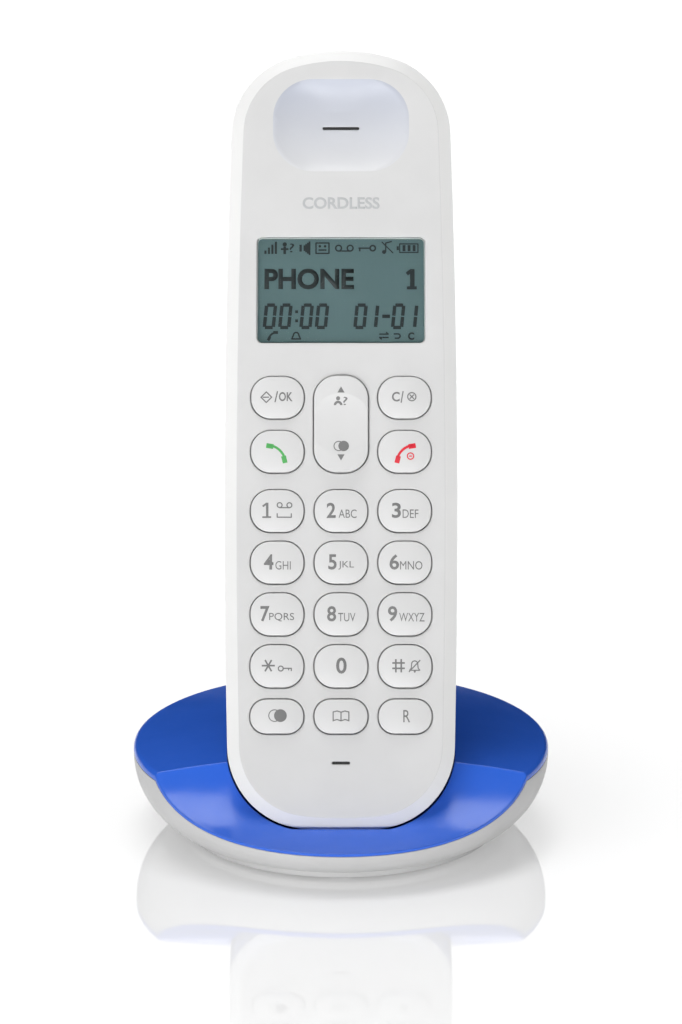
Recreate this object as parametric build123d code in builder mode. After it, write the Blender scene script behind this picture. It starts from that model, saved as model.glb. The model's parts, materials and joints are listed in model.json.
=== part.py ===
"""Cordless telephone: a slim handset leaning back in a small round charging base.

Row frame, in millimetres: +Z up, the user's side faces -Y, and the origin is the centre of the
base's round foot on the table. The handset has a frame of its own, laid on its flat front face:
across is +X, up is along the handset, and depth runs from the face into the handset.
"""

import os
from functools import lru_cache
from math import cos, radians, sin, sqrt

from build123d import *

# ---------------------------------------------------------------------------------------------
# Driving dimensions
# ---------------------------------------------------------------------------------------------

# Handset casing
lean = 22.0  # how far the handset leans back from upright, in degrees
heel_y = -32.8  # where the lower edge of the handset's face stands, in the row frame
heel_z = 10.4
handset_length = 162.6
half_width = 24.0  # at the widest place
widest_at = 74.0
shoulder_half_width = 22.5
shoulder_at = 155.0
ankle_half_width = 22.9
ankle_at = 3.8
casing_corner = 17.0  # corner radius of the front view
back_middle_depth = 25.0  # thickness at the middle of the back
back_middle_at = 80.0
back_foot_depth = 21.6  # the back's line carried down to the lower end
back_head_depth = 20.4  # and up to the upper end
back_edge_round = 9.0
parting_depth = 9.5  # where the front and rear casings meet
bevel_width = 2.5
bevel_drop = 1.5
wall = 1.8
seam = 0.1

# Base
foot_radius = 33.6
foot_height = 2.2
underside = 0.5  # the rubber feet lift the base by this much
bowl_centre_r = 28.0  # the bowl's side is an arc swept round the axis
bowl_centre_z = 16.5
bowl_arc = 16.0
rim_round = 1.2
rim_top = 18.6
dome_top = 22.1
base_wall = 1.8
split_height = 17.0  # where the cover meets the bowl
scoop_y = -43.7  # centre and radius of the hollow slope in front
scoop_z = 40.1
scoop_radius = 31.1
scoop_skin = 0.8
well_gap = 0.45
well_wall = 1.4
well_below = 6.0  # the well's space is cut from this far below the handset's foot
well_above = 60.0  # to this far up along it

# Keys
column = 13.1
key_width = 10.85
key_height = 8.65
key_corner = 4.05
low_key_height = 6.95
low_key_corner = 3.3
nav_width = 11.15
nav_height = 20.0
nav_corner = 4.7
nav_at = 83.4
nav_crown = 34.0  # radius of the navigation key's rounded top
nav_valley = 34.0  # radius of the hollow across its middle
nav_pad_shift = 6.2  # its two pads, above and below its middle
nav_flange = 2.35  # set deeper than the other flanges, so the key can rock
key_gap = 0.22
key_rise = 0.95
key_crown = 26.0  # radius of a key's domed top
flange = 0.5
flange_top = wall + 0.05
flange_bottom = flange_top + 0.6
key_rows = {
    "menu": 88.95,
    "call": 77.7,
    "one": 65.4,
    "four": 54.75,
    "seven": 44.1,
    "star": 33.45,
    "low": 23.2,
}
key_places = {
    "key_ok": (-1, "menu"),
    "key_clear": (1, "menu"),
    "key_call": (-1, "call"),
    "key_end": (1, "call"),
    "key_1": (-1, "one"),
    "key_2": (0, "one"),
    "key_3": (1, "one"),
    "key_4": (-1, "four"),
    "key_5": (0, "four"),
    "key_6": (1, "four"),
    "key_7": (-1, "seven"),
    "key_8": (0, "seven"),
    "key_9": (1, "seven"),
    "key_star": (-1, "star"),
    "key_0": (0, "star"),
    "key_hash": (1, "star"),
    "key_redial": (-1, "low"),
    "key_book": (0, "low"),
    "key_recall": (1, "low"),
}

# Inside the handset: depths from the face, and places along the handset
pad_radius = 2.4
mat_pad_top = 3.35
mat_web_top = 4.05
mat_bottom = 4.7
board_top = 5.05
board_bottom = 6.25
board_low = 7.0
board_high = 134.5
window_width = 34.9
window_height = 22.3
window_at = 111.55
window_corner = 1.2
window_sunk = 0.3
lens_bottom = 1.3
ear_at = 146.4
ear_width = 28.6
ear_height = 19.8
ear_depth = 2.2
ear_boss = 4.3
speaker_radius = 9.4
mic_at = 13.75
screw_places = ((-17.0, 131.0), (17.0, 131.0), (-14.0, 14.5), (14.0, 14.5))
screw_seat = 15.5  # depth of the seat under each screw head
screw_tip = 4.6
hatch_at = 65.0
hatch_width = 36.0
hatch_height = 62.0
hatch_corner = 6.0
hatch_thickness = 1.6
bay_half_width = 12.3
bay_low = 40.5
bay_high = 90.5
bay_floor = 11.0
cell_radius = 5.2
cell_length = 44.4
cell_x = 5.9
ringer_at = 112.0
ringer_radius = 8.6
charge_at = 17.0
charge_x = 7.0

# Inside the base
base_board_bottom = 3.6
base_board_top = 5.2
base_board_radius = 33.0
base_board_front = -1.4
post_places = ((-25.0, 5.0), (25.0, 5.0), (-19.0, 21.0), (19.0, 21.0))
post_radius = 3.0
post_foot = 6.0
seat_height = 2.4
socket_width = 11.6
socket_depth = 15.0
socket_height = 10.6
socket_x = 7.3
socket_face = 36.4
mouth_width = 9.7
mouth_height = 6.7
mouth_depth = 12.5
page_y = 15.0
page_radius = 4.6
page_flange = 5.6
page_top = 22.2
page_flange_bottom = 18.0
page_flange_top = 19.1
page_stem_bottom = 10.2
page_switch_height = 3.4
foot_circle = 30.5  # the outer feet stand on this radius
foot_pad = (3.8, 5.2, 0.9)  # width, length and corner of an outer foot
middle_foot = 4.0  # radius of the foot in the middle
foot_thickness = 1.0
foot_play = 0.1
label_y = 14.0
contact_board_depth = 26.0  # depth, from the handset's face, of the flat part of each contact spring

# ---------------------------------------------------------------------------------------------
# Frames and shapes that several parts share
# ---------------------------------------------------------------------------------------------

up = Vector(0, sin(radians(lean)), cos(radians(lean)))
into = Vector(0, cos(radians(lean)), -sin(radians(lean)))
heel = Vector(0, heel_y, heel_z)
face = Plane(origin=heel, x_dir=(1, 0, 0), z_dir=-into)
side = Plane(origin=heel, x_dir=into, z_dir=up.cross(into) * -1)
made = []


def keep(builder, name):
    """Label a finished part and remember it for export."""
    builder.part.label = name
    made.append(builder.part)


def depth(amount):
    """The plane parallel to the handset's face, this far inside it."""
    return face.offset(-amount)


def depth_of(shape):
    """How deep the middle of an edge or face lies below the handset's face."""
    return (shape.center() - heel).dot(into)


def back_depth(along):
    """Depth of the plain back surface at a place along the handset."""
    low, mid, high = back_foot_depth, back_middle_depth, back_head_depth
    start = -5.0
    a = 2 * (mid - low)
    b = 2 * (back_middle_at - start)
    c = 2 * (high - low)
    d = 2 * (handset_length + 5 - start)
    e = mid**2 - low**2 + back_middle_at**2 - start**2
    f = high**2 - low**2 + (handset_length + 5) ** 2 - start**2
    centre_along = (a * f - c * e) / (a * d - c * b)
    centre_depth = (e - b * centre_along) / a
    radius = sqrt((low - centre_depth) ** 2 + (start - centre_along) ** 2)
    return centre_depth + sqrt(radius**2 - (along - centre_along) ** 2)


@lru_cache(maxsize=None)
def outline(inset):
    """Front view of the handset, shrunk by inset all round."""
    foot, head = inset, handset_length - inset
    with BuildSketch() as view:
        with BuildLine():
            ends = {}
            for hand in (-1, 1):
                ankle = (hand * (ankle_half_width - inset), ankle_at + inset)
                shoulder = (hand * (shoulder_half_width - inset), shoulder_at - inset)
                ends[hand] = (ankle, shoulder)
                ThreePointArc(ankle, (hand * (half_width - inset), widest_at), shoulder)
            ThreePointArc(ends[-1][0], (0, foot), ends[1][0])
            ThreePointArc(ends[-1][1], (0, head), ends[1][1])
        make_face()
        fillet(view.vertices(), casing_corner - inset)
    return view.sketch


@lru_cache(maxsize=None)
def casing(inset):
    """The handset's outer form, shrunk by inset all round."""
    with BuildPart() as body:
        with BuildSketch(depth(inset)):
            add(outline(inset))
        extrude(amount=-(back_middle_depth + 5))
        with BuildSketch(side):
            with BuildLine():
                low = (back_foot_depth - inset, -5)
                high = (back_head_depth - inset, handset_length + 5)
                ThreePointArc(low, (back_middle_depth - inset, back_middle_at), high)
                Polyline(high, (-5, handset_length + 5), (-5, -5), low)
            make_face()
        extrude(amount=40, both=True, mode=Mode.INTERSECT)
        fillet(body.edges().filter_by(lambda e: depth_of(e) > parting_depth + 4), back_edge_round - inset)
    return body.part


@lru_cache(maxsize=None)
def skin(outer, inner):
    """The layer of the handset's form between two insets."""
    with BuildPart() as layer:
        add(casing(outer))
        add(casing(inner), mode=Mode.SUBTRACT)
    return layer.part


def pad_prism(x, along, width, height, corner, top, bottom):
    """A rounded prism square to the handset's face, between two depths."""
    with BuildPart() as prism:
        with BuildSketch(depth(bottom)):
            with Locations((x, along)):
                if corner:
                    RectangleRounded(width, height, corner)
                else:
                    Rectangle(width, height)
        extrude(amount=bottom - top)
    return prism.part


def pin(x, along, radius, top, bottom):
    """A round pin square to the handset's face, between two depths."""
    with BuildPart() as post:
        with BuildSketch(depth(bottom)):
            with Locations((x, along)):
                Circle(radius)
        extrude(amount=bottom - top)
    return post.part


def key_frame(name):
    """Centre, width, height and corner radius of a plain key."""
    hand, row = key_places[name]
    low = row == "low"
    height = low_key_height if low else key_height
    corner = low_key_corner if low else key_corner
    return hand * column, key_rows[row], key_width, height, corner


def bowl_profile(inset, lid):
    """Half section of the whole base, shrunk by inset; the lid is how far its dome is lowered."""
    base_z = underside + inset + (0.05 if inset else 0)
    arc = bowl_arc - inset
    foot_z = max(foot_height, base_z)
    foot_r = bowl_centre_r + sqrt(max(arc**2 - (bowl_centre_z - foot_z) ** 2, 0))
    rim_r = bowl_centre_r + arc
    mid_z = (foot_z + bowl_centre_z) / 2
    mid_r = bowl_centre_r + sqrt(arc**2 - (bowl_centre_z - mid_z) ** 2)
    with BuildSketch(Plane.XZ) as section:
        with BuildLine():
            ThreePointArc((foot_r, foot_z), (mid_r, mid_z), (rim_r, bowl_centre_z))
            Line((rim_r, bowl_centre_z), (rim_r, rim_top - lid))
            rise = dome_top - rim_top
            dome_radius = (rim_r**2 + rise**2) / (2 * rise)
            dome_mid = dome_top - lid - dome_radius + sqrt(dome_radius**2 - (rim_r / 2) ** 2)
            ThreePointArc((rim_r, rim_top - lid), (rim_r / 2, dome_mid), (0, dome_top - lid))
            axis_line = [(0, dome_top - lid), (0, base_z)]
            foot_ring = [(foot_radius, base_z), (foot_radius, foot_z)] if foot_z > base_z else []
            Polyline(*axis_line, *foot_ring, (foot_r, foot_z))
        make_face()
    return section.sketch


@lru_cache(maxsize=None)
def base_form():
    """The whole base as one solid, before it is hollowed or scooped."""
    with BuildPart() as form:
        with BuildSketch(Plane.XZ):
            add(bowl_profile(0, 0))
        revolve(axis=Axis.Z)
        level = form.edges().filter_by(lambda e: e.bounding_box().size.Z < 0.01)
        fillet(level.sort_by(Axis.Z)[-1], rim_round)
    return form.part


@lru_cache(maxsize=None)
def base_hollow():
    """The space inside the base."""
    with BuildPart() as space:
        with BuildSketch(Plane.XZ):
            add(bowl_profile(base_wall, base_wall))
        revolve(axis=Axis.Z)
    return space.part


@lru_cache(maxsize=None)
def scoop(extra):
    """The round bar whose side shapes the hollow slope in front."""
    with BuildPart() as bar:
        with BuildSketch(Plane.YZ):
            with Locations((scoop_y, scoop_z)):
                Circle(scoop_radius + extra)
        extrude(amount=60, both=True)
    return bar.part


@lru_cache(maxsize=None)
def pocket(extra):
    """The space the handset's foot slides into, grown by extra all round and open upward."""
    reach = half_width + extra
    rear = back_depth(22.0) + extra
    with BuildPart() as space:
        with BuildSketch(Plane(origin=heel - up * well_below, x_dir=(1, 0, 0), z_dir=up)) as across:
            with BuildLine():
                Polyline((-reach, -extra), (-reach, rear), (reach, rear), (reach, -extra), close=True)
            make_face()
            rear_corners = across.vertices().filter_by(lambda v: v.Y > 5)
            fillet(rear_corners, back_edge_round + extra)
        extrude(amount=well_below + well_above)
        # seen from the front it follows the handset, which only ever moves toward its wider part
        with BuildSketch(depth(-6)):
            add(outline(-extra))
        extrude(amount=-60, mode=Mode.INTERSECT)
        with BuildSketch(side) as profile:
            with BuildLine():
                Polyline((-12, -extra), (rear, -extra), (rear, 60), (-12, 60), close=True)
            make_face()
            fillet(profile.vertices().filter_by(lambda v: v.X > 5 and v.Y < 5), back_edge_round + extra + 2)
        extrude(amount=40, both=True, mode=Mode.INTERSECT)
    return space.part


# ---------------------------------------------------------------------------------------------
# Handset: the two casings
# ---------------------------------------------------------------------------------------------

with BuildPart() as ear_dish:
    for level, share in ((-0.2, 1.02), (0.75, 0.86), (1.6, 0.62), (ear_depth, 0.3)):
        with BuildSketch(depth(level)):
            with Locations((0, ear_at)):
                RectangleRounded(ear_width * share, ear_height * share, 8.4 * share)
    loft()

with BuildPart() as front_shell:
    add(casing(0))
    front_face = front_shell.faces().sort_by(lambda f: depth_of(f))[0]
    chamfer(front_face.edges(), length=bevel_width, length2=bevel_drop, reference=front_face)
    with BuildSketch(depth(parting_depth)):
        Rectangle(200, 500)
    extrude(amount=-40, mode=Mode.SUBTRACT)
    add(casing(wall), mode=Mode.SUBTRACT)
    # the thickness behind the ear dish, and the ring that holds the speaker
    ear_back = pad_prism(0, ear_at, ear_width + 2, ear_height + 2, 9.0, wall - 0.5, ear_boss)
    add(ear_back)
    add(pin(0, ear_at, speaker_radius + 1.1, ear_boss - 0.1, ear_boss + 3.0))
    add(pin(0, ear_at, speaker_radius + 0.1, ear_boss, ear_boss + 5.0), mode=Mode.SUBTRACT)
    add(ear_dish.part, mode=Mode.SUBTRACT)
    add(pad_prism(0, ear_at - 0.2, 7.7, 0.65, 0.3, -1, ear_boss + 1), mode=Mode.SUBTRACT)
    # screw posts, stepped where the board rests
    for x, along in screw_places:
        add(pin(x, along, 3.3, wall - 0.5, board_top))
        add(pin(x, along, 2.6, wall - 0.5, screw_seat - 1.6))
        add(pin(x, along, 1.15, screw_tip - 0.4, screw_seat), mode=Mode.SUBTRACT)
    # display window with a ledge for the lens
    window = (window_width, window_height)
    add(pad_prism(0, window_at, *window, window_corner, -1, lens_bottom), mode=Mode.SUBTRACT)
    add(pad_prism(0, window_at, window[0] - 2.4, window[1] - 2.4, 0.6, -1, wall + 1), mode=Mode.SUBTRACT)
    # key openings
    for name in key_places:
        x, along, width, height, corner = key_frame(name)
        grown = (width + 2 * key_gap, height + 2 * key_gap, corner + key_gap)
        add(pad_prism(x, along, *grown, -1, wall + 1), mode=Mode.SUBTRACT)
    grown = (nav_width + 2 * key_gap, nav_height + 2 * key_gap, nav_corner + key_gap)
    add(pad_prism(0, nav_at, *grown, -1, wall + 1), mode=Mode.SUBTRACT)
    # microphone slot
    add(pad_prism(0, mic_at, 3.7, 0.6, 0.28, -1, wall + 1), mode=Mode.SUBTRACT)
keep(front_shell, "front_shell")

with BuildPart() as rear_shell:
    add(skin(0, wall))
    with BuildSketch(depth(parting_depth + seam)):
        Rectangle(200, 500)
    extrude(amount=40, mode=Mode.SUBTRACT)
    # a thin lip that reaches inside the front casing
    with BuildSketch(depth(parting_depth + 1.4)):
        add(outline(wall - 0.2))
        add(outline(wall + 0.85), mode=Mode.SUBTRACT)
    extrude(amount=1.4 - seam)
    with BuildSketch(depth(parting_depth + 1.4)):
        add(outline(wall + 0.05))
        add(outline(wall + 0.85), mode=Mode.SUBTRACT)
    extrude(amount=2.4)
    # ledge under the battery hatch
    with BuildPart(mode=Mode.PRIVATE) as ledge:
        add(casing(hatch_thickness + 0.1))
        add(Pos(*(into * -1.1)) * casing(hatch_thickness + 0.1), mode=Mode.SUBTRACT)
        rim = (hatch_width + 3, hatch_height + 3, hatch_corner + 1.5)
        add(pad_prism(0, hatch_at, *rim, 15, 40), mode=Mode.INTERSECT)
    add(pad_prism(0, hatch_at, hatch_width, hatch_height, hatch_corner, 15, 40), mode=Mode.SUBTRACT)
    add(ledge.part)
    # the bay for the two cells
    bay_at = (bay_low + bay_high) / 2
    bay_size = (2 * bay_half_width, bay_high - bay_low)
    with BuildPart(mode=Mode.PRIVATE) as bay:
        add(pad_prism(0, bay_at, bay_size[0] + 2, bay_size[1] + 2, 1.2, bay_floor - 1, 40))
        add(casing(hatch_thickness + 0.1), mode=Mode.INTERSECT)
    add(bay.part)
    add(pad_prism(0, bay_at, *bay_size, 0.6, bay_floor, 40), mode=Mode.SUBTRACT)
    # seats for the four screws
    with BuildPart(mode=Mode.PRIVATE) as seats:
        for x, along in screw_places:
            add(pin(x, along, 3.4, screw_seat - 1.5, 40))
        add(casing(0.2), mode=Mode.INTERSECT)
    add(seats.part)
    for x, along in screw_places:
        add(pin(x, along, 2.3, screw_seat, 40), mode=Mode.SUBTRACT)
        add(pin(x, along, 1.3, screw_seat - 3, 40), mode=Mode.SUBTRACT)
    # collar and slots for the ringer
    ringer_back = back_depth(ringer_at) - wall
    add(pin(0, ringer_at, ringer_radius + 1.1, ringer_back - 3.0, ringer_back + 0.4))
    add(pin(0, ringer_at, ringer_radius + 0.1, ringer_back - 5.0, ringer_back - 0.2), mode=Mode.SUBTRACT)
    for step in range(-2, 3):
        length = 11.0 - abs(step) * 2.2
        slot = pad_prism(0, ringer_at + step * 2.4, length, 0.9, 0.4, ringer_back - 4, 40)
        add(slot, mode=Mode.SUBTRACT)
    # openings for the charging pads
    for x in (-charge_x, charge_x):
        add(pad_prism(x, charge_at, 4.66, 5.06, 0.5, 15, 40), mode=Mode.SUBTRACT)
keep(rear_shell, "rear_shell")

with BuildPart() as battery_cover:
    add(skin(0, hatch_thickness))
    trimmed = (hatch_width - 0.3, hatch_height - 0.3, hatch_corner - 0.15)
    add(pad_prism(0, hatch_at, *trimmed, 15, 40), mode=Mode.INTERSECT)
    # thumb grips
    for step in range(5):
        grip = pad_prism(0, hatch_at + 17 + step * 2.2, 12 - step * 1.2, 0.9, 0.4, 24.2, 40)
        add(grip, mode=Mode.SUBTRACT)
keep(battery_cover, "battery_cover")

# ---------------------------------------------------------------------------------------------
# Handset: display, keys and electronics
# ---------------------------------------------------------------------------------------------

with BuildPart() as display_lens:
    pane = (window_width - 0.1, window_height - 0.1, window_corner)
    add(pad_prism(0, window_at, *pane, window_sunk, lens_bottom))
keep(display_lens, "display_lens")

with BuildPart() as lcd_glass:
    add(pad_prism(0, window_at, 33.6, 22.2, 0, wall + 0.1, 3.9))
    add(pad_prism(0, window_at - 12.0, 33.6, 1.8, 0, 2.9, 3.9))
keep(lcd_glass, "lcd_glass")

with BuildPart() as lcd_frame:
    add(pad_prism(0, window_at - 0.8, 37.0, 27.2, 1.0, wall + 0.1, 5.0))
    add(pad_prism(0, window_at, 33.8, 22.4, 0, 0, 3.95), mode=Mode.SUBTRACT)
    add(pad_prism(0, window_at - 12.0, 33.8, 2.2, 0, 0, 3.95), mode=Mode.SUBTRACT)
keep(lcd_frame, "lcd_frame")

with BuildPart() as keypad_mat:
    add(pad_prism(0, 57.0, 40.5, 77.0, 3.0, mat_web_top, mat_bottom))
    for name in key_places:
        x, along = key_frame(name)[:2]
        add(pin(x, along, pad_radius, mat_pad_top, mat_web_top + 0.1))
    for shift in (-nav_pad_shift, nav_pad_shift):
        add(pin(0, nav_at + shift, pad_radius, mat_pad_top, mat_web_top + 0.1))
keep(keypad_mat, "keypad_mat")

with BuildPart() as dome_contacts:
    for name in key_places:
        x, along = key_frame(name)[:2]
        add(pin(x, along, 2.0, mat_bottom + 0.05, board_top))
    for shift in (-nav_pad_shift, nav_pad_shift):
        add(pin(0, nav_at + shift, 2.0, mat_bottom + 0.05, board_top))
keep(dome_contacts, "dome_contacts")

with BuildPart() as handset_board:
    with BuildSketch(depth(board_bottom)):
        add(outline(wall + 0.6))
        with Locations((0, (board_low + board_high) / 2)):
            Rectangle(60, board_high - board_low, mode=Mode.INTERSECT)
    extrude(amount=board_bottom - board_top)
    for x, along in screw_places:
        add(pin(x, along, 2.8, 0, 12), mode=Mode.SUBTRACT)
    # packages on the back of the board
    for x, along, width, height, rise in ((-12, 88, 8, 8, 1.2), (10, 80, 6, 9, 1.5), (0, 30, 7, 5, 1.1)):
        add(pad_prism(x, along, width, height, 0, board_bottom, board_bottom + rise))
keep(handset_board, "handset_board")

with BuildPart() as handset_shield:
    add(pad_prism(0, 106.0, 24.0, 26.0, 0.8, board_bottom, board_bottom + 2.6))
    add(pad_prism(0, 106.0, 23.4, 25.4, 0.6, board_bottom - 1, board_bottom + 2.3), mode=Mode.SUBTRACT)
keep(handset_shield, "handset_shield")

with BuildPart() as handset_antenna:
    add(pad_prism(0, 127.0, 24.0, 0.4, 0, board_bottom, board_bottom + 5.0))
    add(pad_prism(2.0, 128.9, 20.0, 4.2, 0, board_bottom + 4.6, board_bottom + 5.0))
keep(handset_antenna, "handset_antenna")

with BuildPart() as speaker_gasket:
    add(pin(0, ear_at, speaker_radius, ear_boss, ear_boss + 0.5))
    add(pin(0, ear_at, speaker_radius - 2.2, 0, 10), mode=Mode.SUBTRACT)
keep(speaker_gasket, "speaker_gasket")

with BuildPart() as earpiece_speaker:
    add(pin(0, ear_at, speaker_radius, ear_boss + 0.5, ear_boss + 2.0))
    add(pin(0, ear_at, speaker_radius - 1.6, ear_boss + 1.5, ear_boss + 4.2))
    add(pin(0, ear_at, speaker_radius - 4.5, ear_boss + 4.0, ear_boss + 5.0))
keep(earpiece_speaker, "earpiece_speaker")

with BuildPart() as microphone:
    add(pin(0, mic_at, 2.9, 3.0, board_top))
keep(microphone, "microphone")

with BuildPart() as microphone_boot:
    add(pin(0, mic_at, 3.6, wall, board_top - 0.1))
    add(pin(0, mic_at, 2.95, 2.95, 10), mode=Mode.SUBTRACT)
    add(pin(0, mic_at, 0.6, 0, 10), mode=Mode.SUBTRACT)
keep(microphone_boot, "microphone_boot")

with BuildPart() as ringer_speaker:
    add(pin(0, ringer_at, ringer_radius, ringer_back - 2.4, ringer_back - 0.25))
    add(pin(0, ringer_at, ringer_radius - 3, ringer_back - 4.6, ringer_back - 2.2))
keep(ringer_speaker, "ringer_speaker")

cell_at = bay_low + 0.6 + cell_length / 2
cell_depth = bay_floor + 0.1 + cell_radius
for hand, name in ((-1, "battery_cell_left"), (1, "battery_cell_right")):
    with BuildPart() as cell:
        middle = heel + into * cell_depth + up * cell_at
        with BuildSketch(Plane(origin=middle, x_dir=(1, 0, 0), z_dir=up * hand)):
            with Locations((hand * cell_x, 0)):
                Circle(cell_radius)
        extrude(amount=cell_length / 2 - 0.9, both=True)
        shoulder = middle + up * (hand * (cell_length / 2 - 0.95))
        with BuildSketch(Plane(origin=shoulder, x_dir=(1, 0, 0), z_dir=up * hand)):
            with Locations((hand * cell_x, 0)):
                Circle(1.9)
        extrude(amount=0.95)
    keep(cell, name)

with BuildPart() as battery_contacts:
    for hand in (-1, 1):
        flat_end = cell_at - hand * (cell_length / 2 - 0.9)
        stop_end = (bay_low + bay_high) / 2 - hand * ((bay_high - bay_low) / 2 - 0.25)
        nib_end = (bay_low + bay_high) / 2 + hand * ((bay_high - bay_low) / 2 - 0.25)
        for end in (stop_end, nib_end):
            add(pad_prism(hand * cell_x, end, 8.0, 0.4, 0, cell_depth - 4, cell_depth + 4))
        # coil between the plate and the flat end of the cell
        start = stop_end + hand * 0.2
        gap = abs(flat_end - start) - 0.05
        turns = max(1, round(gap / 1.2))
        for turn in range(turns + 1):
            level = start + hand * gap * (turn + 0.5) / (turns + 1)
            ring_plane = Plane(origin=heel + into * cell_depth + up * level, x_dir=(1, 0, 0), z_dir=up)
            with Locations(ring_plane * Pos(hand * cell_x, 0, 0)):
                Torus(3.2, gap / (turns + 1) / 2 + 0.02)
keep(battery_contacts, "battery_contacts")

with BuildPart() as charge_pads:
    for x in (-charge_x, charge_x):
        with BuildPart(mode=Mode.PRIVATE) as pad:
            add(skin(0.1, 2.1))
            add(pad_prism(x, charge_at, 4.6, 5.0, 0.5, 15, 40), mode=Mode.INTERSECT)
        add(pad.part)
keep(charge_pads, "charge_pads")

with BuildPart() as handset_screws:
    for x, along in screw_places:
        add(pin(x, along, 1.1, screw_tip, screw_seat + 0.1))
        add(pin(x, along, 2.1, screw_seat, screw_seat + 1.6))
        add(pad_prism(x, along, 2.6, 0.5, 0, screw_seat + 0.8, screw_seat + 2), mode=Mode.SUBTRACT)
        add(pad_prism(x, along, 0.5, 2.6, 0, screw_seat + 0.8, screw_seat + 2), mode=Mode.SUBTRACT)
keep(handset_screws, "handset_screws")


def plain_key(name):
    """A domed key cap with its retaining flange."""
    x, along, width, height, corner = key_frame(name)
    with BuildPart() as key:
        add(pad_prism(x, along, width, height, corner, -key_rise - 0.5, flange_top + 0.1))
        crown = heel + Vector(x, 0, 0) + up * along + into * (key_crown - key_rise)
        with Locations(crown):
            Sphere(key_crown, mode=Mode.INTERSECT)
        wide = (width + 2 * flange, height + 2 * flange, corner + flange)
        add(pad_prism(x, along, *wide, flange_top, flange_bottom))
    return key


for name in key_places:
    keep(plain_key(name), name)

with BuildPart() as key_nav:
    add(pad_prism(0, nav_at, nav_width, nav_height, nav_corner, -key_rise - 1, nav_flange + 0.1))
    crown = heel + up * nav_at + into * (nav_crown - key_rise - 0.25)
    with BuildSketch(Plane(origin=crown, x_dir=(1, 0, 0), z_dir=up)):
        Circle(nav_crown)
    extrude(amount=40, both=True, mode=Mode.INTERSECT)
    valley = heel + up * nav_at - into * (nav_valley + key_rise - 0.35)
    with BuildSketch(Plane(origin=valley, x_dir=up, z_dir=(1, 0, 0))):
        Circle(nav_valley)
    extrude(amount=40, both=True, mode=Mode.SUBTRACT)
    rim = (nav_width + 1, nav_height + 1, nav_corner + 0.5)
    add(pad_prism(0, nav_at, *rim, nav_flange, nav_flange + 0.5))
keep(key_nav, "key_nav")

# ---------------------------------------------------------------------------------------------
# Base
# ---------------------------------------------------------------------------------------------

with BuildPart() as base_bottom:
    add(base_form())
    add(base_hollow(), mode=Mode.SUBTRACT)
    with BuildSketch(Plane.XY.offset(split_height)):
        Rectangle(200, 200)
    extrude(amount=40, mode=Mode.SUBTRACT)
    add(scoop(scoop_skin + seam), mode=Mode.SUBTRACT)
    for x, y in post_places:
        with BuildSketch(Plane.XY.offset(base_wall)):
            with Locations((x, y)):
                Circle(3.6)
        extrude(amount=base_board_bottom - base_wall)
        with BuildSketch(Plane.XY.offset(base_board_bottom - 0.1)):
            with Locations((x, y)):
                Circle(2.7)
        extrude(amount=post_foot - 0.1 - base_board_bottom + 0.1)
        with BuildSketch():
            with Locations((x, y)):
                Circle(2.3)
        extrude(amount=seat_height, mode=Mode.SUBTRACT)
        with BuildSketch():
            with Locations((x, y)):
                Circle(1.3)
        extrude(amount=30, mode=Mode.SUBTRACT)
    # windows for the two sockets
    for x in (-socket_x, socket_x):
        with BuildSketch(Plane.XY.offset(base_board_top - 0.1)):
            with Locations((x, 40)):
                Rectangle(socket_width + 0.3, 30)
        extrude(amount=socket_height + 0.3, mode=Mode.SUBTRACT)
    # pockets for the feet
    with BuildSketch(Plane.XY.offset(underside)):
        with PolarLocations(foot_circle, 4):
            width, length, corner = (size + 2 * foot_play for size in foot_pad)
            RectangleRounded(width, length, corner)
        Circle(middle_foot + foot_play)
    extrude(amount=foot_thickness - underside, mode=Mode.SUBTRACT)
keep(base_bottom, "base_bottom")

with BuildPart() as base_cover:
    with BuildPart(mode=Mode.PRIVATE) as upper:
        add(base_form())
        with BuildSketch():
            Rectangle(200, 200)
        extrude(amount=split_height + seam, mode=Mode.SUBTRACT)
    with BuildPart(mode=Mode.PRIVATE) as slope:
        add(base_form())
        add(scoop(scoop_skin), mode=Mode.INTERSECT)
    with BuildPart(mode=Mode.PRIVATE) as space:
        add(base_hollow())
        add(scoop(scoop_skin), mode=Mode.SUBTRACT)
    add(upper.part)
    add(slope.part)
    add(space.part, mode=Mode.SUBTRACT)
    # the wall of the well
    with BuildPart(mode=Mode.PRIVATE) as well:
        add(pocket(well_gap + well_wall))
        add(base_hollow(), mode=Mode.INTERSECT)
        with BuildSketch():
            Rectangle(200, 200)
        extrude(amount=2.6, mode=Mode.SUBTRACT)
    add(well.part)
    # posts for the screws
    for x, y in post_places:
        with BuildSketch(Plane.XY.offset(post_foot)):
            with Locations((x, y)):
                Circle(post_radius)
        extrude(amount=14.0)
    add(scoop(0), mode=Mode.SUBTRACT)
    add(pocket(well_gap), mode=Mode.SUBTRACT)
    for x, y in post_places:
        with BuildSketch(Plane.XY.offset(post_foot - 1)):
            with Locations((x, y)):
                Circle(1.15)
        extrude(amount=8.6, mode=Mode.SUBTRACT)
    # ribs the handset stands on
    for x in (-9.0, 9.0):
        add(pad_prism(x, -0.25, 1.6, 1.36, 0, 4, 13))
    # slots for the contact tips
    for x in (-charge_x, charge_x):
        add(pad_prism(x, charge_at, 2.6, 4.6, 0, 18, 29), mode=Mode.SUBTRACT)
    # hole for the paging button
    with BuildSketch(Plane.XY.offset(15)):
        with Locations((0, page_y)):
            Circle(page_radius + 0.15)
    extrude(amount=20, mode=Mode.SUBTRACT)
keep(base_cover, "base_cover")

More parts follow.
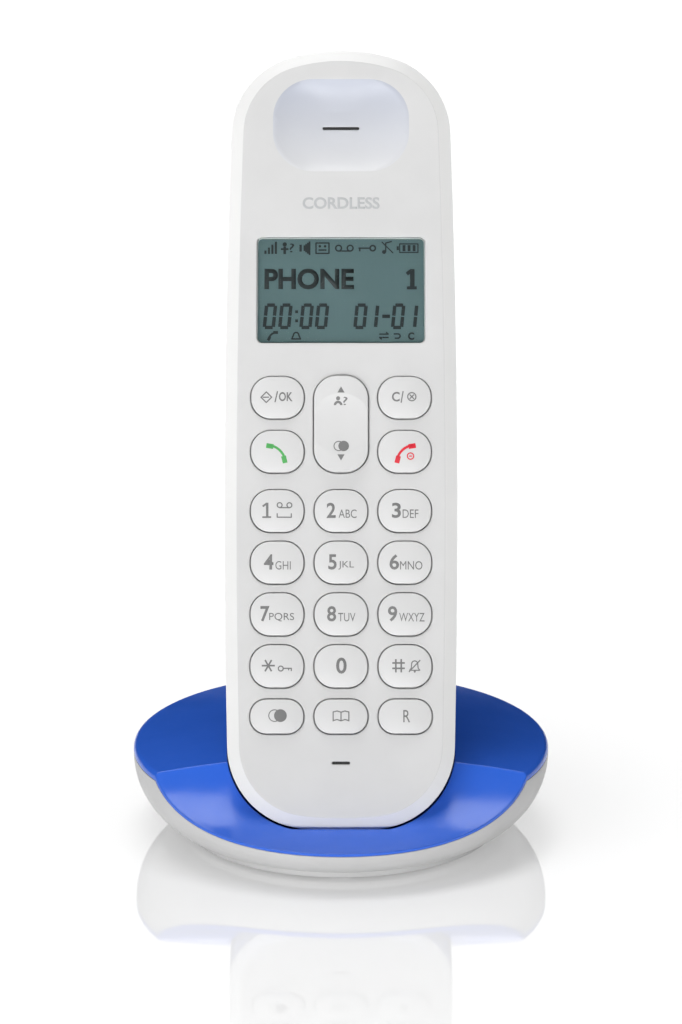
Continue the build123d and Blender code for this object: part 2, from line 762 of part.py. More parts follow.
with BuildPart() as base_board:
    with BuildSketch(Plane.XY.offset(base_board_bottom)):
        Circle(base_board_radius)
        with Locations((0, base_board_front - 50)):
            Rectangle(100, 100, mode=Mode.SUBTRACT)
        with Locations(post_places):
            Circle(3.0, mode=Mode.SUBTRACT)
    extrude(amount=base_board_top - base_board_bottom)
    for x, y, width, height, rise in ((10, 12, 7, 7, 1.4), (-22, 12.5, 4, 5, 1.2)):
        with BuildSketch(Plane.XY.offset(base_board_top)):
            with Locations((x, y)):
                Rectangle(width, height)
        extrude(amount=rise)
keep(base_board, "base_board")

with BuildPart() as page_switch:
    with BuildSketch(Plane.XY.offset(base_board_top)):
        with Locations((0, page_y)):
            Rectangle(6.0, 6.0)
    extrude(amount=page_switch_height)
    with BuildSketch(Plane.XY.offset(base_board_top + page_switch_height)):
        with Locations((0, page_y)):
            Circle(1.7)
    extrude(amount=0.6)
keep(page_switch, "page_switch")

with BuildPart() as page_button:
    with BuildSketch(Plane.XY.offset(page_flange_top - 0.1)):
        with Locations((0, page_y)):
            Circle(page_radius)
    extrude(amount=page_top - page_flange_top + 0.1)
    fillet(page_button.edges().sort_by(Axis.Z)[-1], 0.5)
    with BuildSketch(Plane.XY.offset(page_flange_bottom)):
        with Locations((0, page_y)):
            Circle(page_flange)
    extrude(amount=page_flange_top - page_flange_bottom)
    with BuildSketch(Plane.XY.offset(page_stem_bottom)):
        with Locations((0, page_y)):
            Circle(1.2)
    extrude(amount=page_flange_bottom - page_stem_bottom + 0.6)
keep(page_button, "page_button")

for hand, name in ((-1, "line_socket"), (1, "power_socket")):
    with BuildPart() as socket:
        with BuildSketch(Plane.XY.offset(base_board_top)):
            with Locations((hand * socket_x, socket_face - socket_depth / 2)):
                Rectangle(socket_width, socket_depth)
        extrude(amount=socket_height)
        mouth_z = base_board_top + 1.1 + mouth_height / 2
        with BuildSketch(Plane.XZ.offset(-socket_face)):
            with Locations((hand * socket_x, mouth_z)):
                Rectangle(mouth_width, mouth_height)
            with Locations((hand * socket_x, mouth_z + mouth_height / 2 + 0.6)):
                Rectangle(6.2, 1.4)
            with Locations((hand * socket_x, mouth_z + mouth_height / 2 + 1.4)):
                Rectangle(3.2, 1.0)
        extrude(amount=mouth_depth, mode=Mode.SUBTRACT)
    keep(socket, name)

with BuildPart() as contact_block:
    with BuildSketch(Plane.XY.offset(base_board_top)):
        with Locations((0, 1.5)):
            Rectangle(22.0, 5.6)
    extrude(amount=7.2)
    for x in (-charge_x, charge_x):
        add(pad_prism(x, 9.5, 2.3, 1.1, 0, 20, 33), mode=Mode.SUBTRACT)
keep(contact_block, "contact_block")

pad_face = back_depth(charge_at) - 0.1
for hand, name in ((-1, "base_contact_left"), (1, "base_contact_right")):
    with BuildPart() as contact:
        x = hand * charge_x
        add(pad_prism(x, 15.0, 1.8, 11.4, 0, contact_board_depth, contact_board_depth + 0.4))
        add(pad_prism(x, charge_at, 1.8, 3.4, 0.5, pad_face + 0.9, contact_board_depth + 0.2))
        with BuildSketch(Plane(origin=heel + Vector(x, 0, 0), x_dir=into, z_dir=(1, 0, 0))):
            with Locations((pad_face + 1.7 + 0.05, charge_at)):
                Circle(1.7)
        extrude(amount=0.9, both=True)
        add(pad_prism(x, 9.5, 1.8, 0.4, 0, contact_board_depth + 0.2, 31.0))
    keep(contact, name)

with BuildPart() as base_screws:
    for x, y in post_places:
        with BuildSketch(Plane.XY.offset(0.9)):
            with Locations((x, y)):
                Circle(2.05)
        extrude(amount=1.4)
        with BuildSketch(Plane.XY.offset(2.2)):
            with Locations((x, y)):
                Circle(1.1)
        extrude(amount=10.6)
        with BuildSketch(Plane.XY.offset(0.9)):
            with Locations((x, y)):
                Rectangle(2.6, 0.5)
                Rectangle(0.5, 2.6)
        extrude(amount=0.7, mode=Mode.SUBTRACT)
keep(base_screws, "base_screws")

with BuildPart() as rubber_feet:
    with BuildSketch():
        with PolarLocations(foot_circle, 4):
            RectangleRounded(*foot_pad)
        Circle(middle_foot)
    extrude(amount=foot_thickness)
keep(rubber_feet, "rubber_feet")

with BuildPart() as base_shield:
    for size, low, high, cut in ((14.0, 0, 3.4, Mode.ADD), (13.4, -1, 3.1, Mode.SUBTRACT)):
        with BuildSketch(Plane.XY.offset(base_board_top + low)):
            with Locations((-11.5, 11.0)):
                Rectangle(size, size - 3)
        extrude(amount=high - low, mode=cut)
keep(base_shield, "base_shield")

with BuildPart() as base_antenna:
    with BuildSketch(Plane.XY.offset(base_board_top)):
        with Locations((23.5, 14.0)):
            Rectangle(0.4, 10.0)
    extrude(amount=9.0)
    with BuildSketch(Plane.XY.offset(base_board_top + 8.6)):
        with Locations((21.0, 14.0)):
            Rectangle(5.0, 8.0)
    extrude(amount=0.4)
keep(base_antenna, "base_antenna")

with BuildPart() as base_label:
    with BuildSketch(Plane.XY.offset(underside - 0.15)):
        with Locations((0, label_y)):
            RectangleRounded(26.0, 15.0, 1.5)
    extrude(amount=0.15)
keep(base_label, "base_label")

# ---------------------------------------------------------------------------------------------

os.makedirs("parts", exist_ok=True)
for part in made:
    export_step(part, f"parts/{part.label}.step")
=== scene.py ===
"""Looks of a cordless telephone: a slim white handset standing in a round blue and white base.

Everything is in metres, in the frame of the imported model: +Z up, the keypad towards -Y.
"""

from __future__ import annotations

import json
import logging
import math
from dataclasses import dataclass, field
from enum import Enum

import bpy
from mathutils import Matrix, Vector

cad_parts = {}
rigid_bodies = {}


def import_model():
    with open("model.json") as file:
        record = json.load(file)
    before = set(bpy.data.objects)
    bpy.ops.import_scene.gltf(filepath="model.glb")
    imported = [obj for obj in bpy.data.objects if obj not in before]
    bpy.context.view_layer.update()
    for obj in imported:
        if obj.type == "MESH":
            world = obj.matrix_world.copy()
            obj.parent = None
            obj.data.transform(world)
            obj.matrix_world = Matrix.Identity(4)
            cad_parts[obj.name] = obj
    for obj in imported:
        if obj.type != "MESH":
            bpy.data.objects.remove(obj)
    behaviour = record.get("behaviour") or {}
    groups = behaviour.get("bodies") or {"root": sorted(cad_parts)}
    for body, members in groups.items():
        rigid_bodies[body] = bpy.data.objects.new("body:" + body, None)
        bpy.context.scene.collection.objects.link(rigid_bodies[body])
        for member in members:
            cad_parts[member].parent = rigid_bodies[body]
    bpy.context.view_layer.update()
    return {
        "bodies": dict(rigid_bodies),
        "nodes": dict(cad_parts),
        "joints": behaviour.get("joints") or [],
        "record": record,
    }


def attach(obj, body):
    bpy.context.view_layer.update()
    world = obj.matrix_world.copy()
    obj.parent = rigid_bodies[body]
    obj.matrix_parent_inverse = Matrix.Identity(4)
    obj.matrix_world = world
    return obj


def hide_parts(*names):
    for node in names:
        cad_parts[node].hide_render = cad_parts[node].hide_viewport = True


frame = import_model()

LOG = logging.getLogger("telephone")
MM = 0.001
Colour = tuple[float, float, float]


def joint_axis(name: str) -> Vector:
    """Read a joint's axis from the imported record.

    Args:
        name: The joint's name.

    Returns:
        The axis as a unit vector in the row frame.
    """
    found = next(joint for joint in frame["joints"] if joint["name"] == name)
    return Vector(found["axis"]).normalized()


# ------------------------------------------------------------------------------------------
# Shader graph helpers and shared effects
# ------------------------------------------------------------------------------------------


class Graph:
    """A short way to add and join nodes in one node tree."""

    def __init__(self, tree: bpy.types.NodeTree) -> None:
        """Start on a tree, keeping the nodes that are in it."""
        self.tree = tree

    def add(self, kind: str, **settings: object) -> bpy.types.Node:
        """Add a node and set its properties and input values.

        Args:
            kind: The node's class name.
            **settings: Node properties, or input values under the input's name with _ for a space.

        Returns:
            The new node.
        """
        node = self.tree.nodes.new(kind)
        for key, value in settings.items():
            if hasattr(node, key):
                setattr(node, key, value)
            else:
                node.inputs[key.replace("_", " ")].default_value = value
        return node

    def link(self, start: bpy.types.NodeSocket, end: bpy.types.NodeSocket) -> None:
        """Join an output to an input."""
        self.tree.links.new(start, end)

    def calculate(self, operation: str, *values: object) -> bpy.types.NodeSocket:
        """Put a Math node on sockets or numbers.

        Args:
            operation: The Math node's operation.
            *values: Sockets to link or numbers to set, in order.

        Returns:
            The result socket.
        """
        node = self.tree.nodes.new("ShaderNodeMath")
        node.operation = operation
        for entry, value in zip(node.inputs, values):
            if isinstance(value, bpy.types.NodeSocket):
                self.link(value, entry)
            else:
                entry.default_value = value
        return node.outputs[0]


def new_group(
    name: str, inputs: dict[str, tuple], outputs: dict[str, str]
) -> tuple[bpy.types.NodeTree, Graph]:
    """Make an empty shader node group with named sockets.

    Args:
        name: The group's name.
        inputs: Socket name to (socket type, default value).
        outputs: Socket name to socket type.

    Returns:
        The group's tree and a Graph on it.
    """
    tree = bpy.data.node_groups.new(name, "ShaderNodeTree")
    for label, (kind, value) in inputs.items():
        socket = tree.interface.new_socket(name=label, in_out="INPUT", socket_type=kind)
        socket.default_value = value
    for label, kind in outputs.items():
        tree.interface.new_socket(name=label, in_out="OUTPUT", socket_type=kind)
    return tree, Graph(tree)


def moulding_group() -> bpy.types.NodeTree:
    """Build the group for moulded and painted surfaces: mottle, smudges and fine grain.

    Returns:
        The node group. Its outputs feed base colour, roughness and a bump height.
    """
    real = "NodeSocketFloat"
    inputs = {
        "Colour": ("NodeSocketColor", (0.8, 0.8, 0.8, 1)),
        "Second colour": ("NodeSocketColor", (0.7, 0.7, 0.7, 1)),
        "Mottle scale": (real, 60.0),
        "Grain scale": (real, 2500.0),
        "Smooth": (real, 0.3),
        "Dull": (real, 0.4),
        "Dust": (real, 0.1),
    }
    outputs = {"Colour": "NodeSocketColor", "Roughness": real, "Height": real}
    tree, graph = new_group("Moulded surface", inputs, outputs)
    start = graph.add("NodeGroupInput")
    end = graph.add("NodeGroupOutput")
    place = graph.add("ShaderNodeTexCoord")
    mottle = graph.add("ShaderNodeTexNoise", Detail=3.0, Roughness=0.55)
    graph.link(place.outputs["Object"], mottle.inputs["Vector"])
    graph.link(start.outputs["Mottle scale"], mottle.inputs["Scale"])
    spread = graph.add("ShaderNodeMapRange", From_Min=0.35, From_Max=0.7)
    graph.link(mottle.outputs["Fac"], spread.inputs["Value"])
    blend = graph.add("ShaderNodeMix", data_type="RGBA")
    graph.link(spread.outputs["Result"], blend.inputs["Factor"])
    graph.link(start.outputs["Colour"], blend.inputs["A"])
    graph.link(start.outputs["Second colour"], blend.inputs["B"])
    # pale dust lies on what faces up
    geometry = graph.add("ShaderNodeNewGeometry")
    parts = graph.add("ShaderNodeSeparateXYZ")
    graph.link(geometry.outputs["Normal"], parts.inputs["Vector"])
    speck = graph.add("ShaderNodeTexNoise", Scale=900.0, Detail=2.0)
    graph.link(place.outputs["Object"], speck.inputs["Vector"])
    facing = graph.calculate("MAXIMUM", parts.outputs["Z"], 0.0)
    specks = graph.calculate("MULTIPLY", facing, speck.outputs["Fac"])
    lying = graph.calculate("MULTIPLY", specks, start.outputs["Dust"])
    dusty = graph.add("ShaderNodeMix", data_type="RGBA", B=(0.75, 0.75, 0.74, 1))
    graph.link(lying, dusty.inputs["Factor"])
    graph.link(blend.outputs["Result"], dusty.inputs["A"])
    graph.link(dusty.outputs["Result"], end.inputs["Colour"])
    # finger smudges change the gloss
    smudge = graph.add("ShaderNodeTexNoise", Scale=140.0, Detail=4.0, Distortion=0.6)
    graph.link(place.outputs["Object"], smudge.inputs["Vector"])
    gloss = graph.add("ShaderNodeMapRange", From_Min=0.35, From_Max=0.65)
    graph.link(smudge.outputs["Fac"], gloss.inputs["Value"])
    graph.link(start.outputs["Smooth"], gloss.inputs["To Min"])
    graph.link(start.outputs["Dull"], gloss.inputs["To Max"])
    graph.link(gloss.outputs["Result"], end.inputs["Roughness"])
    # the grain of the mould, and a slower ripple left by cooling
    grain = graph.add("ShaderNodeTexNoise", Detail=2.0, Roughness=0.6)
    graph.link(place.outputs["Object"], grain.inputs["Vector"])
    graph.link(start.outputs["Grain scale"], grain.inputs["Scale"])
    ripple = graph.add("ShaderNodeTexNoise", Scale=35.0, Detail=1.0)
    graph.link(place.outputs["Object"], ripple.inputs["Vector"])
    height = graph.calculate("MULTIPLY_ADD", ripple.outputs["Fac"], 0.6, grain.outputs["Fac"])
    graph.link(height, end.inputs["Height"])
    return tree


def brushed_group() -> bpy.types.NodeTree:
    """Build the group for rolled or plated metal: drawn streaks and dull patches.

    Returns:
        The node group, with the same outputs as the moulded surface.
    """
    real = "NodeSocketFloat"
    inputs = {
        "Colour": ("NodeSocketColor", (0.6, 0.6, 0.6, 1)),
        "Second colour": ("NodeSocketColor", (0.5, 0.5, 0.5, 1)),
        "Streak scale": (real, 3000.0),
        "Smooth": (real, 0.25),
        "Dull": (real, 0.45),
    }
    outputs = {"Colour": "NodeSocketColor", "Roughness": real, "Height": real}
    tree, graph = new_group("Drawn metal", inputs, outputs)
    start = graph.add("NodeGroupInput")
    end = graph.add("NodeGroupOutput")
    place = graph.add("ShaderNodeTexCoord")
    # the streaks run long in y and z
    stretch = graph.add("ShaderNodeVectorMath", operation="MULTIPLY")
    stretch.inputs[1].default_value = (1.0, 0.06, 0.06)
    graph.link(place.outputs["Object"], stretch.inputs[0])
    streak = graph.add("ShaderNodeTexNoise", Detail=2.0)
    graph.link(stretch.outputs["Vector"], streak.inputs["Vector"])
    graph.link(start.outputs["Streak scale"], streak.inputs["Scale"])
    patch = graph.add("ShaderNodeTexNoise", Scale=220.0, Detail=3.0)
    graph.link(place.outputs["Object"], patch.inputs["Vector"])
    blend = graph.add("ShaderNodeMix", data_type="RGBA")
    graph.link(patch.outputs["Fac"], blend.inputs["Factor"])
    graph.link(start.outputs["Colour"], blend.inputs["A"])
    graph.link(start.outputs["Second colour"], blend.inputs["B"])
    graph.link(blend.outputs["Result"], end.inputs["Colour"])
    gloss = graph.add("ShaderNodeMapRange", From_Min=0.3, From_Max=0.7)
    graph.link(streak.outputs["Fac"], gloss.inputs["Value"])
    graph.link(start.outputs["Smooth"], gloss.inputs["To Min"])
    graph.link(start.outputs["Dull"], gloss.inputs["To Max"])
    graph.link(gloss.outputs["Result"], end.inputs["Roughness"])
    graph.link(streak.outputs["Fac"], end.inputs["Height"])
    return tree


class Surface(Enum):
    """The shared effect that a finish is made with."""

    MOULDED = "moulded"
    DRAWN = "drawn"


GROUPS = {Surface.MOULDED: moulding_group(), Surface.DRAWN: brushed_group()}


@dataclass(frozen=True)
class Finish:
    """One finish, from which a material is made."""

    name: str
    colour: Colour
    second: Colour
    smooth: float
    dull: float
    surface: Surface = Surface.MOULDED
    grain: float = 2500.0
    mottle: float = 60.0
    relief: float = 0.02
    dust: float = 0.06
    metallic: float = 0.0
    coat: float = 0.0
    coat_roughness: float = 0.08
    subsurface: float = 0.0
    subsurface_depth: float = 0.002
    specular: float = 0.5
    bump_depth: float = 0.0002
    soft_edge: float = 0.0

    def material(self) -> bpy.types.Material:
        """Make the finish's material, or return it if it is made.

        Returns:
            The material.
        """
        made = bpy.data.materials.get(self.name)
        if made:
            return made
        made = bpy.data.materials.new(self.name)
        made.use_nodes = True
        made.node_tree.nodes.clear()
        graph = Graph(made.node_tree)
        shader = graph.add("ShaderNodeBsdfPrincipled", Metallic=self.metallic)
        shader.inputs["Coat Weight"].default_value = self.coat
        shader.inputs["Coat Roughness"].default_value = self.coat_roughness
        shader.inputs["Specular IOR Level"].default_value = self.specular
        shader.inputs["Subsurface Weight"].default_value = self.subsurface
        shader.inputs["Subsurface Scale"].default_value = self.subsurface_depth
        effect = graph.add("ShaderNodeGroup", node_tree=GROUPS[self.surface])
        effect.inputs["Colour"].default_value = (*self.colour, 1)
        effect.inputs["Second colour"].default_value = (*self.second, 1)
        effect.inputs["Smooth"].default_value = self.smooth
        effect.inputs["Dull"].default_value = self.dull
        if self.surface is Surface.MOULDED:
            effect.inputs["Mottle scale"].default_value = self.mottle
            effect.inputs["Grain scale"].default_value = self.grain
            effect.inputs["Dust"].default_value = self.dust
        bump = graph.add("ShaderNodeBump", Strength=self.relief, Distance=self.bump_depth)
        graph.link(effect.outputs["Height"], bump.inputs["Height"])
        if self.soft_edge:
            rounded = graph.add("ShaderNodeBevel", samples=6, Radius=self.soft_edge)
            graph.link(rounded.outputs["Normal"], bump.inputs["Normal"])
        graph.link(effect.outputs["Colour"], shader.inputs["Base Color"])
        graph.link(effect.outputs["Roughness"], shader.inputs["Roughness"])
        graph.link(bump.outputs["Normal"], shader.inputs["Normal"])
        end = graph.add("ShaderNodeOutputMaterial")
        graph.link(shader.outputs["BSDF"], end.inputs["Surface"])
        return made


WHITE = Finish(
    "pearl_white_shell", (0.63, 0.63, 0.63), (0.6, 0.6, 0.6), 0.36, 0.46, relief=0.04, soft_edge=0.0006
)
BACK = Finish(
    "satin_white_back",
    (0.67, 0.67, 0.675),
    (0.63, 0.63, 0.635),
    0.40,
    0.52,
    relief=0.08,
    grain=1500,
    soft_edge=0.0004,
)
# painted highlight: a paler white for the bevel round the face, standing in for the light it catches
PAINTED_RIM = Finish("rim_painted_highlight", (0.78, 0.78, 0.775), (0.76, 0.76, 0.755), 0.42, 0.48, relief=0.0, dust=0.0)
KEYCAP = Finish(
    "keycap_white", (0.65, 0.65, 0.65), (0.63, 0.63, 0.63), 0.34, 0.44, relief=0.03, soft_edge=0.0004
)
BLUE = Finish(
    "glossy_blue",
    (0.028, 0.127, 0.66),
    (0.032, 0.137, 0.7),
    0.16,
    0.24,
    dust=0.01,
    relief=0.01,
    specular=0.3,
    soft_edge=0.0005,
)
BUTTON = Finish("button_blue", (0.03, 0.1, 0.5), (0.035, 0.11, 0.54), 0.3, 0.4, dust=0.02)
BOWL = Finish(
    "satin_white_bowl",
    (0.56, 0.56, 0.56),
    (0.53, 0.53, 0.53),
    0.32,
    0.42,
    dust=0.0,
    relief=0.02,
    soft_edge=0.0004,
)
INK = Finish("grey_print", (0.16, 0.16, 0.16), (0.2, 0.2, 0.2), 0.5, 0.6, dust=0.0)
PALE_INK = Finish("light_print", (0.42, 0.43, 0.44), (0.47, 0.48, 0.49), 0.5, 0.6, dust=0.0)
GREEN_INK = Finish("green_print", (0.07, 0.36, 0.09), (0.09, 0.42, 0.11), 0.45, 0.55, dust=0.0)
RED_INK = Finish("red_print", (0.62, 0.012, 0.03), (0.7, 0.02, 0.04), 0.45, 0.55, dust=0.0)
SEGMENT = Finish("display_segment", (0.012, 0.016, 0.018), (0.02, 0.025, 0.028), 0.4, 0.5, dust=0.0)
CRYSTAL = Finish(
    "liquid_crystal", (0.32, 0.485, 0.5), (0.335, 0.505, 0.52), 0.3, 0.36, mottle=500, dust=0.0
)
HOLDER = Finish("display_holder", (0.6, 0.6, 0.57), (0.55, 0.55, 0.52), 0.5, 0.6)
SILICONE = Finish("silicone", (0.4, 0.41, 0.43), (0.36, 0.37, 0.39), 0.55, 0.7, subsurface=0.1)
SOLDER_MASK = Finish(
    "solder_mask", (0.015, 0.12, 0.045), (0.02, 0.15, 0.05), 0.25, 0.35, mottle=300, coat=0.3
)
TIN = Finish("tin_plate", (0.62, 0.62, 0.6), (0.5, 0.5, 0.5), 0.25, 0.4, Surface.DRAWN, metallic=1.0)
CONTACT = Finish(
    "contact_gilt", (0.72, 0.55, 0.28), (0.62, 0.47, 0.24), 0.18, 0.32, Surface.DRAWN, metallic=1.0
)
STEEL = Finish("screw_zinc", (0.5, 0.5, 0.52), (0.4, 0.4, 0.42), 0.25, 0.45, Surface.DRAWN, metallic=1.0)
DARK_METAL = Finish("black_lacquer", (0.02, 0.02, 0.022), (0.035, 0.035, 0.037), 0.35, 0.5, metallic=0.3)
FOAM = Finish("black_foam", (0.015, 0.015, 0.015), (0.03, 0.03, 0.03), 0.85, 0.95, grain=1800, relief=0.8)
JACKET = Finish("cell_jacket", (0.03, 0.2, 0.11), (0.02, 0.17, 0.09), 0.2, 0.3, coat=0.3)
BLACK = Finish(
    "black_plastic", (0.018, 0.018, 0.02), (0.028, 0.028, 0.03), 0.4, 0.55, relief=0.15, grain=1400
)
FOOT = Finish("pale_rubber", (0.55, 0.55, 0.56), (0.5, 0.5, 0.51), 0.6, 0.75, relief=0.3, grain=1200)
LABEL = Finish("blank_plate", (0.5, 0.5, 0.51), (0.46, 0.46, 0.47), 0.4, 0.5)


class LensGlass:
    """The clear pane over the display."""

    NAME = "display_pane"

    def material(self) -> bpy.types.Material:
        """Make the clear material, with fine wiping marks in its gloss.

        Returns:
            The material.
        """
        made = bpy.data.materials.get(self.NAME)
        if made:
            return made
        made = bpy.data.materials.new(self.NAME)
        made.use_nodes = True
        graph = Graph(made.node_tree)
        shader = made.node_tree.nodes["Principled BSDF"]
        shader.inputs["Base Color"].default_value = (0.93, 0.97, 0.96, 1)
        shader.inputs["Transmission Weight"].default_value = 1.0
        shader.inputs["IOR"].default_value = 1.12
        place = graph.add("ShaderNodeTexCoord")
        wipe = graph.add("ShaderNodeTexNoise", Scale=180.0, Detail=4.0)
        graph.link(place.outputs["Object"], wipe.inputs["Vector"])
        gloss = graph.add("ShaderNodeMapRange", To_Min=0.01, To_Max=0.05)
        graph.link(wipe.outputs["Fac"], gloss.inputs["Value"])
        graph.link(gloss.outputs["Result"], shader.inputs["Roughness"])
        return made


SLOT_FINISH = {
    "white_shell": WHITE,
    "rear_shell": BACK,
    "keys": KEYCAP,
    "window": LensGlass(),
    "liquid_crystal": CRYSTAL,
    "frame_plastic": HOLDER,
    "silicone": SILICONE,
    "circuit_board": SOLDER_MASK,
    "tin_plate": TIN,
    "contact_metal": CONTACT,
    "dark_metal": DARK_METAL,
    "foam": FOAM,
    "cell_jacket": JACKET,
    "screw_steel": STEEL,
    "blue_shell": BLUE,
    "base_white": BOWL,
    "socket_plastic": BLACK,
    "switch_plastic": BLACK,
    "button_blue": BUTTON,
    "foot_rubber": FOOT,
    "label": LABEL,
}


def dress_frame() -> None:
    """Give every CAD node the finish of its slot in the record."""
    for row in frame["record"]["subparts"]:
        node = frame["nodes"][row["node"]]
        material = SLOT_FINISH[row["material_slot"]].material()
        node.data.materials.clear()
        node.data.materials.append(material)
    LOG.info("dressed %d CAD nodes", len(frame["nodes"]))


# ------------------------------------------------------------------------------------------
# Modelling helpers
# ------------------------------------------------------------------------------------------


def deselect() -> None:
    """Leave nothing selected."""
    if bpy.context.object and bpy.context.object.mode != "OBJECT":
        bpy.ops.object.mode_set(mode="OBJECT")
    bpy.ops.object.select_all(action="DESELECT")


def pick(*objects: bpy.types.Object) -> None:
    """Select just these objects, the last one active.

    Args:
        *objects: What to select.
    """
    deselect()
    for thing in objects:
        thing.select_set(True)
    bpy.context.view_layer.objects.active = objects[-1]


def settle(thing: bpy.types.Object, place: Matrix) -> None:
    """Move a finished mesh by a matrix and leave its object at the origin.

    Args:
        thing: The mesh object.
        place: The matrix from the mesh's own plane to the row frame.
    """
    thing.matrix_world = place @ thing.matrix_world
    pick(thing)
    bpy.ops.object.transform_apply(location=True, rotation=True, scale=True)


@dataclass(frozen=True)
class FacePlane:
    """The plane of the handset's face: x across, y up along the handset, z out of the face."""

    heel: Vector = field(default_factory=lambda: Vector((0, -32.8, 10.4)) * MM)
    up: Vector = field(default_factory=lambda: joint_axis("handset_lift"))

    def matrix(self, x: float = 0.0, along: float = 0.0, rise: float = 0.0) -> Matrix:
        """Give the matrix that takes a flat drawing to a place on the face.

        Args:
            x: Place across, in metres.
            along: Place up the handset, in metres.
            rise: Height above the face, in metres.

        Returns:
            The matrix from the drawing's plane to the row frame.
        """
        across = Vector((1, 0, 0))
        out = across.cross(self.up)
        turn = Matrix((across, self.up, out)).transposed().to_4x4()
        place = self.heel + across * x + self.up * along + out * rise
        return Matrix.Translation(place) @ turn


FACE = FacePlane()


class Stroke(Enum):
    """Weight of a printed line, as its width in millimetres."""

    THIN = 0.24
    MEDIUM = 0.34
    BOLD = 0.5


